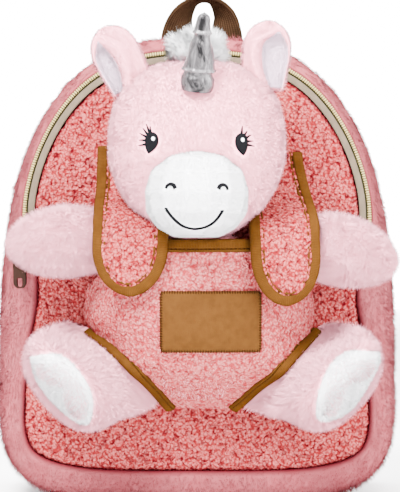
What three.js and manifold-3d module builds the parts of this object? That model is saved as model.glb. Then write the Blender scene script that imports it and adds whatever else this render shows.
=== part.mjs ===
// Kids animal backpack: a fleece bag with a plush unicorn that sits in a bib on its front.
// Millimetres, +Z up, +X to the right as seen from the front, -Y towards the viewer.
// The origin is the middle of the flat base.

import * as THREE from "three";
import { mergeVertices } from "three/addons/utils/BufferGeometryUtils.js";
import Module from "manifold-3d";

const wasm = await Module();
wasm.setup();

// Clearances
const seat = 0.35; // between a piece and what it is sewn to or rests on
const cutClearance = 0.5; // how much a neighbour grows before it is cut out of a soft piece

// Bag
const bagWidth = 239;
const bagHeight = 277;
const widestHeight = 85; // where the outline is widest: it arches above and is squarer below
const archPower = 2.6;
const cornerPower = 4.4;
const frontDepth = 53; // from the rim to the front seam
const backDepth = 55; // from the rim to the back seam
const baseSink = 3; // how far the round underside is pressed flat
const sidePower = 2.4; // roundness of the side wall from front to back
const basePower = 5; // the same at the base, where the bag stands
const sideWall = 5;
const frontWall = 5;
const backWall = 9;
const frontDome = 9;
const backDome = 4;
const frontInset = 15.5;
const backInset = 8;
const panelMiddleShare = 0.46; // height of the middle of both panels, as a share of the bag's
const domePower = 3;
const frontPanelRings = { outer: [1, 0.84, 0.5], innerRim: 0.975 }; // shares of the outline
const backPanelRings = { outer: [1, 0.82, 0.45], innerRim: 0.955 };
const sideRows = [0, 0.08, 0.17, 0.3, 0.5, 0.72, 0.9, 1]; // shares of the way to the back seam

// How far the front seam lies inside the rim, drawn in beside the toy's arms and legs
const frontSeam = [
  { at: 0, inset: 1.25 },
  { at: 0.1, inset: 1.03 },
  { at: 0.21, inset: 1.1 },
  { at: 0.33, inset: 1.3 },
  { at: 0.42, inset: 1.55 },
  { at: 0.5, inset: 1.48 },
  { at: 0.58, inset: 1.25 },
  { at: 0.66, inset: 1.03 },
  { at: 0.9, inset: 1.05 },
  { at: 1, inset: 1.17 },
];

// Zipper
const zipperEndHeight = 140;
const tapeWidth = 4;
const tapeThickness = 1.6;
const teethWidth = 3.2;
const teethThickness = 2.6;
const teethGroove = 0.7; // the dark line between tape and teeth
const teethRaise = 0.4; // how far the teeth stand proud of the wall

// Slider and pull
const sliderWidth = 8.4;
const sliderLength = 11;
const sliderThickness = 3.4;
const bridgeBar = 1.8;
const pullWidth = 8.5;
const pullLength = 26.5;
const pullThickness = 1.7;
const pullHoleWidth = 3.4;
const pullHoleLength = 5;
const pullEyeClearance = 0.45;
const pullEyeWall = 1.2;
const pullNeckShare = 0.2; // share of the pull's length taken by its narrow neck
const pullHoleMargin = 1;

// Bib that holds the toy
const bibBase = 53;
const bibHeight = 97.3;
const bibHalfWidth = 70;
const bibCentre = 0;
const bibLift = 50;
const bibWall = 3;
const bibCrownPower = 2.4; // how flat the bib is across its middle
const bibCrownFullness = 0.8;
const legOpeningTop = 0.5; // share of the bib's height at which the side seams begin
const bibSections = [
  { at: 0, left: 0.16, right: 0.23, edge: 0, crown: 0.02 },
  { at: 0.06, left: 0.23, right: 0.33, edge: 0.14, crown: 0.22 },
  { at: 0.16, left: 0.34, right: 0.47, edge: 0.4, crown: 0.54 },
  { at: 0.26, left: 0.47, right: 0.64, edge: 0.62, crown: 0.76 },
  { at: 0.36, left: 0.64, right: 0.8, edge: 0.52, crown: 0.88 },
  { at: 0.46, left: 0.85, right: 0.95, edge: 0.12, crown: 0.95 },
  { at: 0.55, left: 0.96, right: 1.0, edge: 0, crown: 0.98 },
  { at: 0.66, left: 0.96, right: 1.0, edge: 0, crown: 1.0 },
  { at: 0.76, left: 0.92, right: 0.96, edge: 0.04, crown: 1.0 },
  { at: 0.85, left: 0.77, right: 0.83, edge: 0.5, crown: 1.0 },
  { at: 0.93, left: 0.6, right: 0.67, edge: 0.78, crown: 0.98 },
  { at: 1, left: 0.49, right: 0.57, edge: 0.84, crown: 0.96 },
];

// Bindings
const bindingWidth = 6;
const bindingThickness = 4.2;
const topBindingReach = 0.99; // share of the bib's half width that its top binding runs over
const legBindingStart = 0.03; // shares of the bib's height
const legBindingEndGap = 0.015;
const legBindingInward = 0.6; // the share across the bib that its bindings turn towards

// Shoulder flaps over the toy
const flapWall = 3;
const flapHalfWidth = 18;
const flapLength = 88;
const flapTopHeight = 209;
const flapRoundShare = 0.22; // share of the length taken by the round end
const flapCurl = 6; // how far the outer edge lies behind the middle
const flapCurlSpan = { from: 0.2, to: 0.6 }; // the shares of the drop over which the curl grows
const flapRowPower = 1.25; // how much closer the rows of a flap lie near its round end
const flapEndShare = 0.97; // where the round end's last row lies
const flapSideShare = 0.62; // share of the binding's line that runs along each straight side
const flapBindingInward = 0.8;
const flapPlaces = { left: { x: -37, lower: 0, tilt: -2 }, right: { x: 50, lower: 3.5, tilt: 3 } };
const flapDrape = [
  { at: 0, lift: 0 },
  { at: 0.15, lift: 0.04 },
  { at: 0.27, lift: 0.12 },
  { at: 0.34, lift: 0.3 },
  { at: 0.41, lift: 0.6 },
  { at: 0.48, lift: 0.8 },
  { at: 0.58, lift: 0.93 },
  { at: 0.7, lift: 0.99 },
  { at: 0.85, lift: 1 },
  { at: 1, lift: 0.97 },
];

// Patch
const patchWidth = 58.3;
const patchHeight = 35.4;
const patchThickness = 1.8;
const patchCentre = 8;
const patchCentreHeight = 106.6;

// Toy
const torsoHalf = { x: 40, y: 20, z: 54 };
const torsoCentreHeight = 106;
const torsoAhead = 5; // of the front panel
const headHalfWidth = 51.4;
const headHalfDepth = 43;
const headRise = 51.7;
const headDrop = 52.8;
const headCentreHeight = 205;
const headCrownPower = 2.7;
const headChinPower = 1.85;
const muzzleHalf = { x: 28.7, y: 37, z: 24.8 };
const muzzleLower = 24.5; // below the centre of the head
const muzzleAhead = 20; // of the centre of the head
const muzzlePower = 2.3;
const plushThickness = 3;

// Horn
const hornLength = 39;
const hornRadius = 9.6;
const hornLean = 4.3;
const hornSink = 4;
const hornAhead = 36;
const hornForward = 9; // how far the tip leans ahead
const hornSections = [
  { at: 0, girth: 0.9 },
  { at: 0.16, girth: 1.0 },
  { at: 0.3, girth: 0.95 },
  { at: 0.385, girth: 0.82 },
  { at: 0.46, girth: 0.9 },
  { at: 0.62, girth: 0.76 },
  { at: 0.72, girth: 0.64 },
  { at: 0.785, girth: 0.47 },
  { at: 0.85, girth: 0.5 },
  { at: 0.94, girth: 0.34 },
  { at: 1, girth: 0.14 },
];

// Mane
const maneHalf = { x: 14, y: 12, z: 13 };
const maneBack = 2;
const maneLocks = [
  { turn: -75, lean: 48, reach: 1.3 },
  { turn: -10, lean: 30, reach: 1.25 },
  { turn: 80, lean: 44, reach: 1.3 },
  { turn: 185, lean: 36, reach: 1.35 },
];
const lockRadius = 7;
const lockSections = [
  { at: 0, girth: 1 },
  { at: 0.55, girth: 0.9 },
  { at: 0.82, girth: 0.55 },
  { at: 1, girth: 0.12 },
];

// Ears
const earLength = 38;
const earSink = 6;
const earHalfWidth = 12.5;
const earWall = 3.6;
const earCup = 9;
const earLiningWall = 1.4;
const earLiningShare = 0.72;
const earLiningRise = { from: 0.1, to: 0.9 }; // shares of the ear's length
const earPlaces = {
  left: { x: -33, lean: -32, face: -35 },
  right: { x: 35, lean: 10, face: 35 },
};
const earSections = [
  { at: 0, width: 0.78 },
  { at: 0.2, width: 0.95 },
  { at: 0.45, width: 1.0 },
  { at: 0.7, width: 0.82 },
  { at: 0.9, width: 0.46 },
  { at: 1, width: 0.16 },
];

// Arms
const armLength = 72;
const armRadius = 22;
const armRootHeight = 155;
const armAhead = 27; // from the front of the bag to the middle of the arm
const armFlatness = 0.82;
const armSagShare = 0.3; // how much of its droop an arm has half way along
const armPlaces = { left: { x: -40, droop: 5 }, right: { x: 46, droop: 17 } };
const armSections = [
  { at: 0, girth: 0.42 },
  { at: 0.1, girth: 0.76 },
  { at: 0.28, girth: 0.92 },
  { at: 0.5, girth: 1.0 },
  { at: 0.68, girth: 0.93 },
  { at: 0.84, girth: 0.72 },
  { at: 0.95, girth: 0.42 },
  { at: 1, girth: 0.14 },
];

// Legs
const footLongHalf = 33;
const footAcrossHalf = 28;
const footDeepHalf = 27;
const footSoleShare = 0.62; // how far from its middle the foot is cut flat, as a share of its depth
const footHeight = 75;
const footAhead = 42; // from the front of the bag to the middle of the foot
const footPlaces = { left: -70, right: 77 };
const soleTurn = { out: 0.68, ahead: 0.44, down: 0.6 }; // the way the sole faces
const footLean = { out: 0.6, up: 0.8 }; // the way the foot is long
const kneeRise = 3;
const hipOut = 22;
const hipHeight = 65;
const hipAhead = 15;
const legRadius = 23;
const soleWall = 2.6;
const soleShare = 0.93; // the pad's size as a share of the flat sole
const soleDome = 2;
const soleRings = [
  { share: 1, wall: 0.5, dome: 0 },
  { share: 0.92, wall: 1, dome: 0 },
  { share: 0.55, wall: 1, dome: 0.75 },
];
const legSections = [
  { at: 0, girth: 0.42 },
  { at: 0.2, girth: 0.68 },
  { at: 0.5, girth: 0.9 },
  { at: 0.8, girth: 1 },
  { at: 1, girth: 0.85 },
];

// Haul loop
const webbingThickness = 2.6;
const loopWidth = 21;
const loopHalfSpan = 15.5;
const loopCentre = 3;
const loopRise = 29;
const loopDepth = 47;
const loopFootSink = 6;
const loopTwistPower = 1.6; // how long the webbing stays flat before it turns on edge
const loopSections = [
  { x: -1, z: 0 },
  { x: -1, z: 0.35 },
  { x: -0.8, z: 0.7 },
  { x: -0.35, z: 0.95 },
  { x: 0.1, z: 1 },
  { x: 0.5, z: 0.95 },
  { x: 0.9, z: 0.7 },
  { x: 1, z: 0.35 },
  { x: 1, z: 0 },
];

// Shoulder straps
const strapWidth = 45;
const strapThickness = 12;
const strapTopDrop = 34; // below the top of the bag
const strapTopHalfSpan = 27;
const strapDrop = 142;
const strapSpread = 32;
const strapArch = 42;
const strapSections = [
  { at: 0, out: 0, arch: 0, width: 0.9 },
  { at: 0.12, out: 0.05, arch: 0.08, width: 0.95 },
  { at: 0.32, out: 0.3, arch: 0.6, width: 1 },
  { at: 0.56, out: 0.62, arch: 0.95, width: 1 },
  { at: 0.82, out: 0.88, arch: 0.85, width: 0.85 },
  { at: 1, out: 1, arch: 0.62, width: 0.6 },
];
const adjusterWidth = 28;
const adjusterLength = 22;
const adjusterThickness = 4.5;
const adjusterSlot = 3.6;
const adjusterSlotClearance = 1; // beside the webbing, at each end of a slot
const adjusterSlotPlaces = [0.28, 0.72]; // shares of the adjuster's length
const strapWebbingWidth = 20;
const webbingEndHeight = 26;
const webbingEndInset = 27;
const webbingEndRun = 24; // how far the webbing keeps its direction at each end
const webbingEndLift = 1.5;
const webbingEndSlant = 0.35; // sideways run of the webbing's end, as a share of its rise

// Fineness of the curves
const rimStations = 48;
const rimCurveSteps = 720;
const sideCurveSteps = 24;

// Finishes, as the colours and gloss seen in the photo
const finishes = {
  fleece: { color: 0xe29998, roughness: 0.95, metalness: 0 },
  bibFleece: { color: 0xe4a8a6, roughness: 0.95, metalness: 0 },
  fur: { color: 0xd9909a, roughness: 0.95, metalness: 0 },
  plush: { color: 0xfde3e6, roughness: 0.95, metalness: 0 },
  whitePlush: { color: 0xfcfcfd, roughness: 0.95, metalness: 0 },
  binding: { color: 0xb07445, roughness: 0.85, metalness: 0 },
  leather: { color: 0xb07b44, roughness: 0.6, metalness: 0 },
  webbing: { color: 0x7c5a44, roughness: 0.85, metalness: 0 },
  tape: { color: 0x9e9282, roughness: 0.9, metalness: 0 },
  teeth: { color: 0xe1d2aa, roughness: 0.5, metalness: 0 },
  hardware: { color: 0x6e5548, roughness: 0.35, metalness: 1 },
  silver: { color: 0x918b8b, roughness: 0.35, metalness: 0.6 },
  plastic: { color: 0x5a463a, roughness: 0.5, metalness: 0 },
};

const { clamp, lerp, smoothstep, degToRad } = THREE.MathUtils;
const point = (x, y, z) => new THREE.Vector3(x, y, z);
const backpack = new THREE.Group();
backpack.name = "kids_animal_backpack";

// Reads one column of a table at a share along it, on a smooth curve through its rows.
function follow(rows, column, at) {
  const found = rows.findIndex((row) => row.at >= at);
  if (found === 0) return rows[0][column];
  if (found === -1) return rows.at(-1)[column];
  const [a, b] = [rows[found - 1], rows[found]];
  const slope = (p, q) => (q[column] - p[column]) / (q.at - p.at);
  const middle = slope(a, b);
  const before = found > 1 ? (slope(rows[found - 2], a) + middle) / 2 : middle;
  const after = found < rows.length - 1 ? (middle + slope(b, rows[found + 1])) / 2 : middle;
  const span = b.at - a.at;
  const t = (at - a.at) / span;
  return (
    (2 * t ** 3 - 3 * t ** 2 + 1) * a[column] +
    (t ** 3 - 2 * t ** 2 + t) * span * before +
    (3 * t ** 2 - 2 * t ** 3) * b[column] +
    (t ** 3 - t ** 2) * span * after
  );
}

// A value that keeps its sign when it is raised to a power.
const signedPower = (value, power) => Math.sign(value) * Math.abs(value) ** power;

// Shares from 0 to 1, both included.
const shares = (count) => Array.from({ length: count }, (_, i) => i / (count - 1));

// Solids

function solidFrom(points, faces) {
  const vertProperties = new Float32Array(points.flatMap((p) => [p.x, p.y, p.z]));
  const make = (triVerts) =>
    new wasm.Manifold(new wasm.Mesh({ numProp: 3, vertProperties, triVerts }));
  const solid = make(new Uint32Array(faces));
  return solid.volume() > 0 ? solid : make(new Uint32Array([...faces].reverse()));
}

function geometryOf(solid) {
  const mesh = solid.getMesh();
  const geometry = new THREE.BufferGeometry();
  geometry.setAttribute("position", new THREE.BufferAttribute(mesh.vertProperties, 3));
  geometry.setIndex(new THREE.BufferAttribute(mesh.triVerts, 1));
  geometry.computeVertexNormals();
  return geometry;
}

// A three.js geometry, placed by a matrix, as a solid.
function solidOfGeometry(geometry, matrix) {
  const bare = geometry.clone();
  bare.deleteAttribute("normal");
  bare.deleteAttribute("uv");
  if (matrix) bare.applyMatrix4(matrix);
  const merged = mergeVertices(bare, 1e-4);
  const position = merged.attributes.position;
  const points = Array.from({ length: position.count }, (_, i) =>
    new THREE.Vector3().fromBufferAttribute(position, i),
  );
  return solidFrom(points, [...merged.index.array]);
}

// Rings of points joined one to the next, closed by a fan at each end or looped back to the first.
function loft(rings, looped = false) {
  const count = rings[0].length;
  const points = rings.flat();
  const faces = [];
  for (let r = 0; r < rings.length - (looped ? 0 : 1); r++) {
    const next = (r + 1) % rings.length;
    for (let i = 0; i < count; i++) {
      const j = (i + 1) % count;
      const [a, b] = [r * count + i, r * count + j];
      const [c, d] = [next * count + j, next * count + i];
      faces.push(a, b, c, a, c, d);
    }
  }
  if (looped) return solidFrom(points, faces);
  [0, rings.length - 1].forEach((r, end) => {
    const middle = rings[r].reduce((sum, p) => sum.add(p), point(0, 0, 0));
    points.push(middle.divideScalar(count));
    const tip = points.length - 1;
    for (let i = 0; i < count; i++) {
      const [a, b] = [r * count + i, r * count + ((i + 1) % count)];
      if (end) faces.push(a, b, tip);
      else faces.push(b, a, tip);
    }
  });
  return solidFrom(points, faces);
}

// The solid between two grids of points of the same size.
function slab(front, back) {
  const [rows, columns] = [front.length, front[0].length];
  const points = [...front.flat(), ...back.flat()];
  const behind = rows * columns;
  const faces = [];
  const quad = (a, b, c, d) => faces.push(a, b, c, a, c, d);
  for (let r = 0; r < rows - 1; r++) {
    for (let c = 0; c < columns - 1; c++) {
      const [a, b] = [r * columns + c, r * columns + c + 1];
      const [d, e] = [a + columns, b + columns];
      quad(a, b, e, d);
      quad(behind + a, behind + d, behind + e, behind + b);
    }
  }
  const edge = [];
  for (let c = 0; c < columns - 1; c++) edge.push(c);
  for (let r = 0; r < rows - 1; r++) edge.push(r * columns + columns - 1);
  for (let c = columns - 1; c > 0; c--) edge.push((rows - 1) * columns + c);
  for (let r = rows - 1; r > 0; r--) edge.push(r * columns);
  edge.forEach((a, i) => {
    const b = edge[(i + 1) % edge.length];
    quad(b, a, behind + a, behind + b);
  });
  return solidFrom(points, faces);
}

// A disc of rings, each a list of points from the rim inwards, as a solid wall between two such discs.
function disc(front, frontMiddle, back, backMiddle) {
  const count = front[0].length;
  const rings = [...[...front].reverse(), ...back];
  const points = [...rings.flat(), frontMiddle, backMiddle];
  const faces = [];
  const [first, last] = [points.length - 2, points.length - 1];
  const end = (rings.length - 1) * count;
  for (let i = 0; i < count; i++) {
    const j = (i + 1) % count;
    faces.push(j, i, first, end + i, end + j, last);
    for (let r = 0; r < rings.length - 1; r++) {
      const [a, b] = [r * count + i, r * count + j];
      faces.push(a, b, b + count, a, b + count, a + count);
    }
  }
  return solidFrom(points, faces);
}

// Each point of a grid moved back along the grid's own normal, which points ahead.
function behindGrid(grid, thickness, ahead = point(0, -1, 0)) {
  const at = (r, c) =>
    grid[clamp(r, 0, grid.length - 1)][clamp(c, 0, grid[0].length - 1)];
  return grid.map((row, r) =>
    row.map((p, c) => {
      const across = at(r, c + 1).clone().sub(at(r, c - 1));
      const along = at(r + 1, c).clone().sub(at(r - 1, c));
      const normal = across.cross(along).normalize();
      if (normal.dot(ahead) < 0) normal.negate();
      return p.clone().addScaledVector(normal, -thickness);
    }),
  );
}

// A strip with a section of its own, laid along frames of a place, an across and an out direction.
const flatSection = [
  [-0.5, -0.5],
  [0.5, -0.5],
  [0.5, 0.5],
  [-0.5, 0.5],
];
const softSection = [
  [-0.5, 0],
  [-0.38, -0.5],
  [0.38, -0.5],
  [0.5, 0],
  [0.38, 0.5],
  [-0.38, 0.5],
];
function strip(frames, width, thickness, section = flatSection) {
  const rings = frames.map((frame) =>
    section.map(([a, o]) =>
      frame.at
        .clone()
        .addScaledVector(frame.across, a * width * (frame.width ?? 1))
        .addScaledVector(frame.out, o * thickness),
    ),
  );
  return loft(rings);
}

// A round body whose upper and lower halves may differ in height and in roundness.
function roundBody(centre, half, { columns = 20, rows = 14, power = 2, lower = {} } = {}) {
  const rings = [];
  for (let r = 1; r < rows; r++) {
    const angle = (Math.PI * r) / rows - Math.PI / 2;
    const below = angle < 0;
    const shape = below ? (lower.power ?? power) : power;
    const tall = below ? (lower.z ?? half.z) : half.z;
    const girth = Math.cos(angle) ** (2 / shape);
    const ring = [];
    for (let c = 0; c < columns; c++) {
      const turn = (2 * Math.PI * c) / columns;
      ring.push(
        point(
          centre.x + half.x * girth * Math.cos(turn),
          centre.y + half.y * girth * Math.sin(turn),
          centre.z + tall * signedPower(Math.sin(angle), 2 / shape),
        ),
      );
    }
    rings.push(ring);
  }
  return loft(rings);
}

// The solid with every point moved out along the surface.
function grown(solid, by) {
  const geometry = geometryOf(solid);
  const { position, normal } = geometry.attributes;
  const points = Array.from({ length: position.count }, (_, i) => {
    const p = new THREE.Vector3().fromBufferAttribute(position, i);
    return p.addScaledVector(new THREE.Vector3().fromBufferAttribute(normal, i), by);
  });
  return solidFrom(points, [...geometry.index.array]);
}

// What is left of a soft piece where its neighbours, grown by the clearance, press into it.
function carve(solid, neighbours, by = cutClearance) {
  let left = solid;
  for (const neighbour of neighbours) left = left.subtract(grown(neighbour, by));
  const bodies = left.decompose();
  return bodies.reduce((most, body) => (body.volume() > most.volume() ? body : most));
}

function addPiece(name, solid, finish) {
  const material = new THREE.MeshStandardMaterial(finishes[finish]);
  material.name = finish;
  const mesh = new THREE.Mesh(geometryOf(solid), material);
  mesh.name = name;
  backpack.add(mesh);
}

// The bag's outline

// Points on the rim, evenly spaced, from the bottom middle to the right and round.
function makeStations() {
  const halfWidth = bagWidth / 2;
  const fine = [];
  for (let i = 0; i < rimCurveSteps; i++) {
    const angle = (2 * Math.PI * i) / rimCurveSteps - Math.PI / 2;
    const [c, s] = [Math.cos(angle), Math.sin(angle)];
    const power = 2 / (s > 0 ? archPower : cornerPower);
    const tall = s > 0 ? bagHeight - widestHeight : widestHeight + baseSink;
    fine.push({
      x: halfWidth * signedPower(c, power),
      z: widestHeight + tall * signedPower(s, power),
    });
  }
  const run = [0];
  for (let i = 1; i <= rimCurveSteps; i++) {
    const [a, b] = [fine[i - 1], fine[i % rimCurveSteps]];
    run.push(run[i - 1] + Math.hypot(b.x - a.x, b.z - a.z));
  }
  const stations = [];
  for (let k = 0; k < rimStations; k++) {
    const wanted = (run[rimCurveSteps] * (k + 0.5)) / rimStations;
    const i = run.findIndex((length) => length >= wanted);
    const share = (wanted - run[i - 1]) / (run[i] - run[i - 1]);
    const [a, b] = [fine[i - 1], fine[i % rimCurveSteps]];
    const length = Math.hypot(b.x - a.x, b.z - a.z);
    stations.push({
      x: lerp(a.x, b.x, share),
      z: lerp(a.z, b.z, share),
      inX: -(b.z - a.z) / length,
      inZ: (b.x - a.x) / length,
    });
  }
  return stations;
}

const stations = makeStations();
const seamInset = (station) =>
  frontInset * follow(frontSeam, "inset", clamp(station.z / bagHeight, 0, 1));

// A place at a station, a distance inside the rim and at a depth, held above the floor.
function placeAt(station, inset, depth, floor = 0) {
  const z = Math.max(floor, station.z + station.inZ * inset);
  return point(station.x + station.inX * inset, depth, z);
}

// The side wall's section from the front seam over the rim to the back seam.
function sideSection(station) {
  const roundness = lerp(basePower, sidePower, smoothstep(station.z, 0, widestHeight));
  const power = 2 / roundness;
  const section = [];
  for (let i = sideCurveSteps; i > -sideCurveSteps; i--) {
    const angle = (Math.PI / 2) * Math.abs(i / sideCurveSteps);
    const inset = i > 0 ? seamInset(station) : backInset;
    const depth = i > 0 ? -frontDepth : backDepth;
    section.push({
      inset: inset * (1 - Math.cos(angle) ** power),
      depth: depth * Math.sin(angle) ** power,
    });
  }
  section.push({ inset: backInset, depth: backDepth });
  return section;
}

// A point of that section by its distance from the front seam, with the wall's inward direction there.
function alongSection(section, distance) {
  let left = Math.max(distance, 0);
  for (let i = 1; i < section.length; i++) {
    const [a, b] = [section[i - 1], section[i]];
    const [inset, depth] = [b.inset - a.inset, b.depth - a.depth];
    const length = Math.hypot(inset, depth);
    if (left <= length || i === section.length - 1) {
      const share = Math.min(left / length, 1);
      return {
        inset: a.inset + inset * share,
        depth: a.depth + depth * share,
        inward: { inset: depth / length, depth: -inset / length },
      };
    }
    left -= length;
  }
  return null;
}

const sectionLength = (section) =>
  section.slice(1).reduce((sum, b, i) => {
    const a = section[i];
    return sum + Math.hypot(b.inset - a.inset, b.depth - a.depth);
  }, 0);

// A place on the side wall, sunk below its surface.
function sidePlace(station, distance, sink) {
  const at = alongSection(sideSection(station), distance);
  const inset = at.inset + at.inward.inset * sink;
  return placeAt(station, inset, at.depth + at.inward.depth * sink, Math.max(sink, 0));
}

const tapeStart = seat;
const teethStart = tapeStart + tapeWidth + teethGroove;
const zippedWallStart = teethStart + teethWidth + seat;
const hasZipper = (station) => station.z >= zipperEndHeight;
const zipperStations = stations.filter(hasZipper);

// Front and back panels

const panelMiddle = { x: 0, z: bagHeight * panelMiddleShare };

// The reach of a closed outline from the panel's middle, in the direction of a point.
function outlineReach(outline, x, z) {
  const angle = Math.atan2(z - panelMiddle.z, x - panelMiddle.x);
  const polar = outline.map((p) => ({
    angle: Math.atan2(p.z - panelMiddle.z, p.x - panelMiddle.x),
    radius: Math.hypot(p.x - panelMiddle.x, p.z - panelMiddle.z),
  }));
  const turn = (a) => (a - angle + 3 * Math.PI) % (2 * Math.PI);
  let reach = polar[0].radius;
  polar.forEach((a, i) => {
    const b = polar[(i + 1) % polar.length];
    const [from, to] = [turn(a.angle) - Math.PI, turn(b.angle) - Math.PI];
    if (from <= 0 && to > 0 && to - from < Math.PI) {
      reach = lerp(a.radius, b.radius, from / (from - to));
    }
  });
  return reach;
}

const frontOutline = stations.map((station) => placeAt(station, seamInset(station) + seat, -frontDepth));
const backOutline = stations.map((station) => placeAt(station, backInset + seat, backDepth));
const domeShape = (share) => 1 - clamp(share, 0, 1) ** domePower;

function panelDepth(outline, edgeDepth, dome, x, z) {
  const distance = Math.hypot(x - panelMiddle.x, z - panelMiddle.z);
  return edgeDepth + dome * domeShape(distance / outlineReach(outline, x, z));
}
const frontY = (x, z) => panelDepth(frontOutline, -frontDepth, -frontDome, x, z);
const backY = (x, z) => panelDepth(backOutline, backDepth, backDome, x, z);

function panelSolid(outline, depthAt, inward, { outer, innerRim }) {
  const place = (share, shift) =>
    outline.map((p) => {
      const x = lerp(panelMiddle.x, p.x, share);
      const z = lerp(panelMiddle.z, p.z, share);
      return point(x, depthAt(x, z) + shift, z);
    });
  const middle = (shift) => {
    const { x, z } = panelMiddle;
    return point(x, depthAt(x, z) + shift, z);
  };
  const front = outer.map((share) => place(share, 0));
  const behind = [innerRim, ...outer.slice(1)].map((share) => place(share, inward));
  return disc(front, middle(0), behind, middle(inward));
}

const frontPanel = panelSolid(frontOutline, frontY, frontWall, frontPanelRings);
const backPanel = panelSolid(backOutline, backY, -backWall, backPanelRings);
addPiece("front_panel", frontPanel, "fleece");
addPiece("back_panel", backPanel, "fur");

// Side wall

const gusset = loft(
  stations.map((station, k) => {
    const around = [stations.at(k - 1), station, stations[(k + 1) % stations.length]];
    const start = around.some(hasZipper) ? zippedWallStart : 0;
    const end = sectionLength(sideSection(station));
    const place = (share, sink) => sidePlace(station, lerp(start, end, share), sink);
    const outer = sideRows.map((share) => place(share, 0));
    const inner = sideRows.map((share) => place(share, sideWall));
    return [...outer, ...inner.reverse()];
  }),
  true,
);
addPiece("gusset", gusset, "fur");

// Zipper

function zipperBand(start, width, raise, thickness) {
  return loft(
    zipperStations.map((station) => [
      sidePlace(station, start, -raise),
      sidePlace(station, start + width, -raise),
      sidePlace(station, start + width, thickness - raise),
      sidePlace(station, start, thickness - raise),
    ]),
  );
}
addPiece("zipper_tape", zipperBand(tapeStart, tapeWidth, 0, tapeThickness), "tape");
addPiece("zipper_teeth", zipperBand(teethStart, teethWidth, teethRaise, teethThickness), "teeth");

// Slider and pull, on the left end of the zipper

const sliderStation = zipperStations.at(-1);
const beforeSlider = zipperStations.at(-2);
const teethMiddle = teethStart + teethWidth / 2;
const sliderFoot = sidePlace(sliderStation, teethMiddle, -teethRaise - seat);
const sliderDown = sliderFoot
  .clone()
  .sub(sidePlace(beforeSlider, teethMiddle, -teethRaise - seat))
  .normalize();
const sliderOut = sidePlace(sliderStation, teethMiddle, -2)
  .sub(sidePlace(sliderStation, teethMiddle, 0))
  .normalize();
const sliderAcross = sliderOut.clone().cross(sliderDown).normalize();
const sliderFace = sliderDown.clone().cross(sliderAcross).normalize();

// A box in the slider's frame: across the zipper, down it and out of it.
function sliderBox(size, across, down, out) {
  const middle = sliderFoot
    .clone()
    .addScaledVector(sliderAcross, across)
    .addScaledVector(sliderDown, down)
    .addScaledVector(sliderFace, out);
  const matrix = new THREE.Matrix4()
    .makeBasis(sliderAcross, sliderDown, sliderFace)
    .setPosition(middle);
  return solidOfGeometry(new THREE.BoxGeometry(...size), matrix);
}

// The bar stands high enough for the corners of the pull's eye to turn clear of the slider.
const eyeInner = bridgeBar + 2 * pullEyeClearance;
const eyeOuter = eyeInner + 2 * pullEyeWall;
const bridgeHeight = (eyeOuter * Math.SQRT2) / 2 + pullEyeClearance - bridgeBar / 2;
const barOut = sliderThickness + bridgeHeight + bridgeBar / 2;
const bridgeSpan = sliderWidth - bridgeBar;
const sliderMiddle = -sliderLength / 2;
const bridgePosts = [-1, 1].map((side) =>
  sliderBox(
    [bridgeBar, bridgeBar, bridgeHeight + bridgeBar + sliderThickness / 2],
    (side * bridgeSpan) / 2,
    sliderMiddle,
    (sliderThickness / 2 + barOut + bridgeBar / 2) / 2,
  ),
);
const slider = [
  ...bridgePosts,
  sliderBox([sliderWidth, bridgeBar, bridgeBar], 0, sliderMiddle, barOut),
].reduce(
  (whole, part) => whole.add(part),
  sliderBox([sliderWidth, sliderLength, sliderThickness], 0, sliderMiddle, sliderThickness / 2),
);
addPiece("zipper_slider", slider, "hardware");

const eyeWidth = bridgeSpan - bridgeBar - 2 * pullEyeClearance;
const pullNeck = sliderMiddle + eyeOuter / 2;
const neckLength = pullNeckShare * pullLength + pullEyeWall;
const bladeLength = (1 - pullNeckShare) * pullLength;
const neckMiddle = pullNeck + (pullNeckShare * pullLength) / 2;
const bladeMiddle = pullNeck + pullLength - bladeLength / 2;
const pullPlate = [
  sliderBox([eyeWidth, eyeOuter, eyeOuter], 0, sliderMiddle, barOut),
  sliderBox([eyeWidth, neckLength, pullThickness], 0, neckMiddle, barOut),
  sliderBox([pullWidth, bladeLength, pullThickness], 0, bladeMiddle, barOut),
].reduce((whole, part) => whole.add(part));
const pull = pullPlate
  .subtract(sliderBox([2 * eyeWidth, eyeInner, eyeInner], 0, sliderMiddle, barOut))
  .subtract(
    sliderBox(
      [pullHoleWidth, pullHoleLength, 2 * pullThickness],
      0,
      pullNeck + pullLength - pullHoleLength / 2 - pullHoleMargin,
      barOut,
    ),
  );
addPiece("zipper_pull", pull, "hardware");

// Bib

// A place on the bib: a share of its height, and -1 to 1 across it.
function bibPlace(rise, across, raise = 0) {
  const side = follow(bibSections, across < 0 ? "left" : "right", rise);
  const x = bibCentre + across * side * bibHalfWidth;
  const z = bibBase + rise * bibHeight;
  const round = (1 - Math.min(Math.abs(across), 1) ** bibCrownPower) ** bibCrownFullness;
  const edge = follow(bibSections, "edge", rise);
  const crown = follow(bibSections, "crown", rise);
  const lift = seat + bibWall + lerp(edge, crown, round) * bibLift;
  return point(x, frontY(x, z) - lift - raise, z);
}

// The share across the bib at a height and a distance from the middle.
function bibAcross(x, rise) {
  const side = follow(bibSections, x < bibCentre ? "left" : "right", rise);
  return (x - bibCentre) / (side * bibHalfWidth);
}

const bindingInset = bindingWidth / 2 + seat;
const bibRows = bibSections.map((row) => lerp(bindingInset, bibHeight - bindingInset, row.at) / bibHeight);
const bibColumns = shares(9).map((share) => Math.sin((share - 0.5) * Math.PI));
const gridOf = (rows, columns, place) => rows.map((rise) => columns.map((across) => place(rise, across)));

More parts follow.
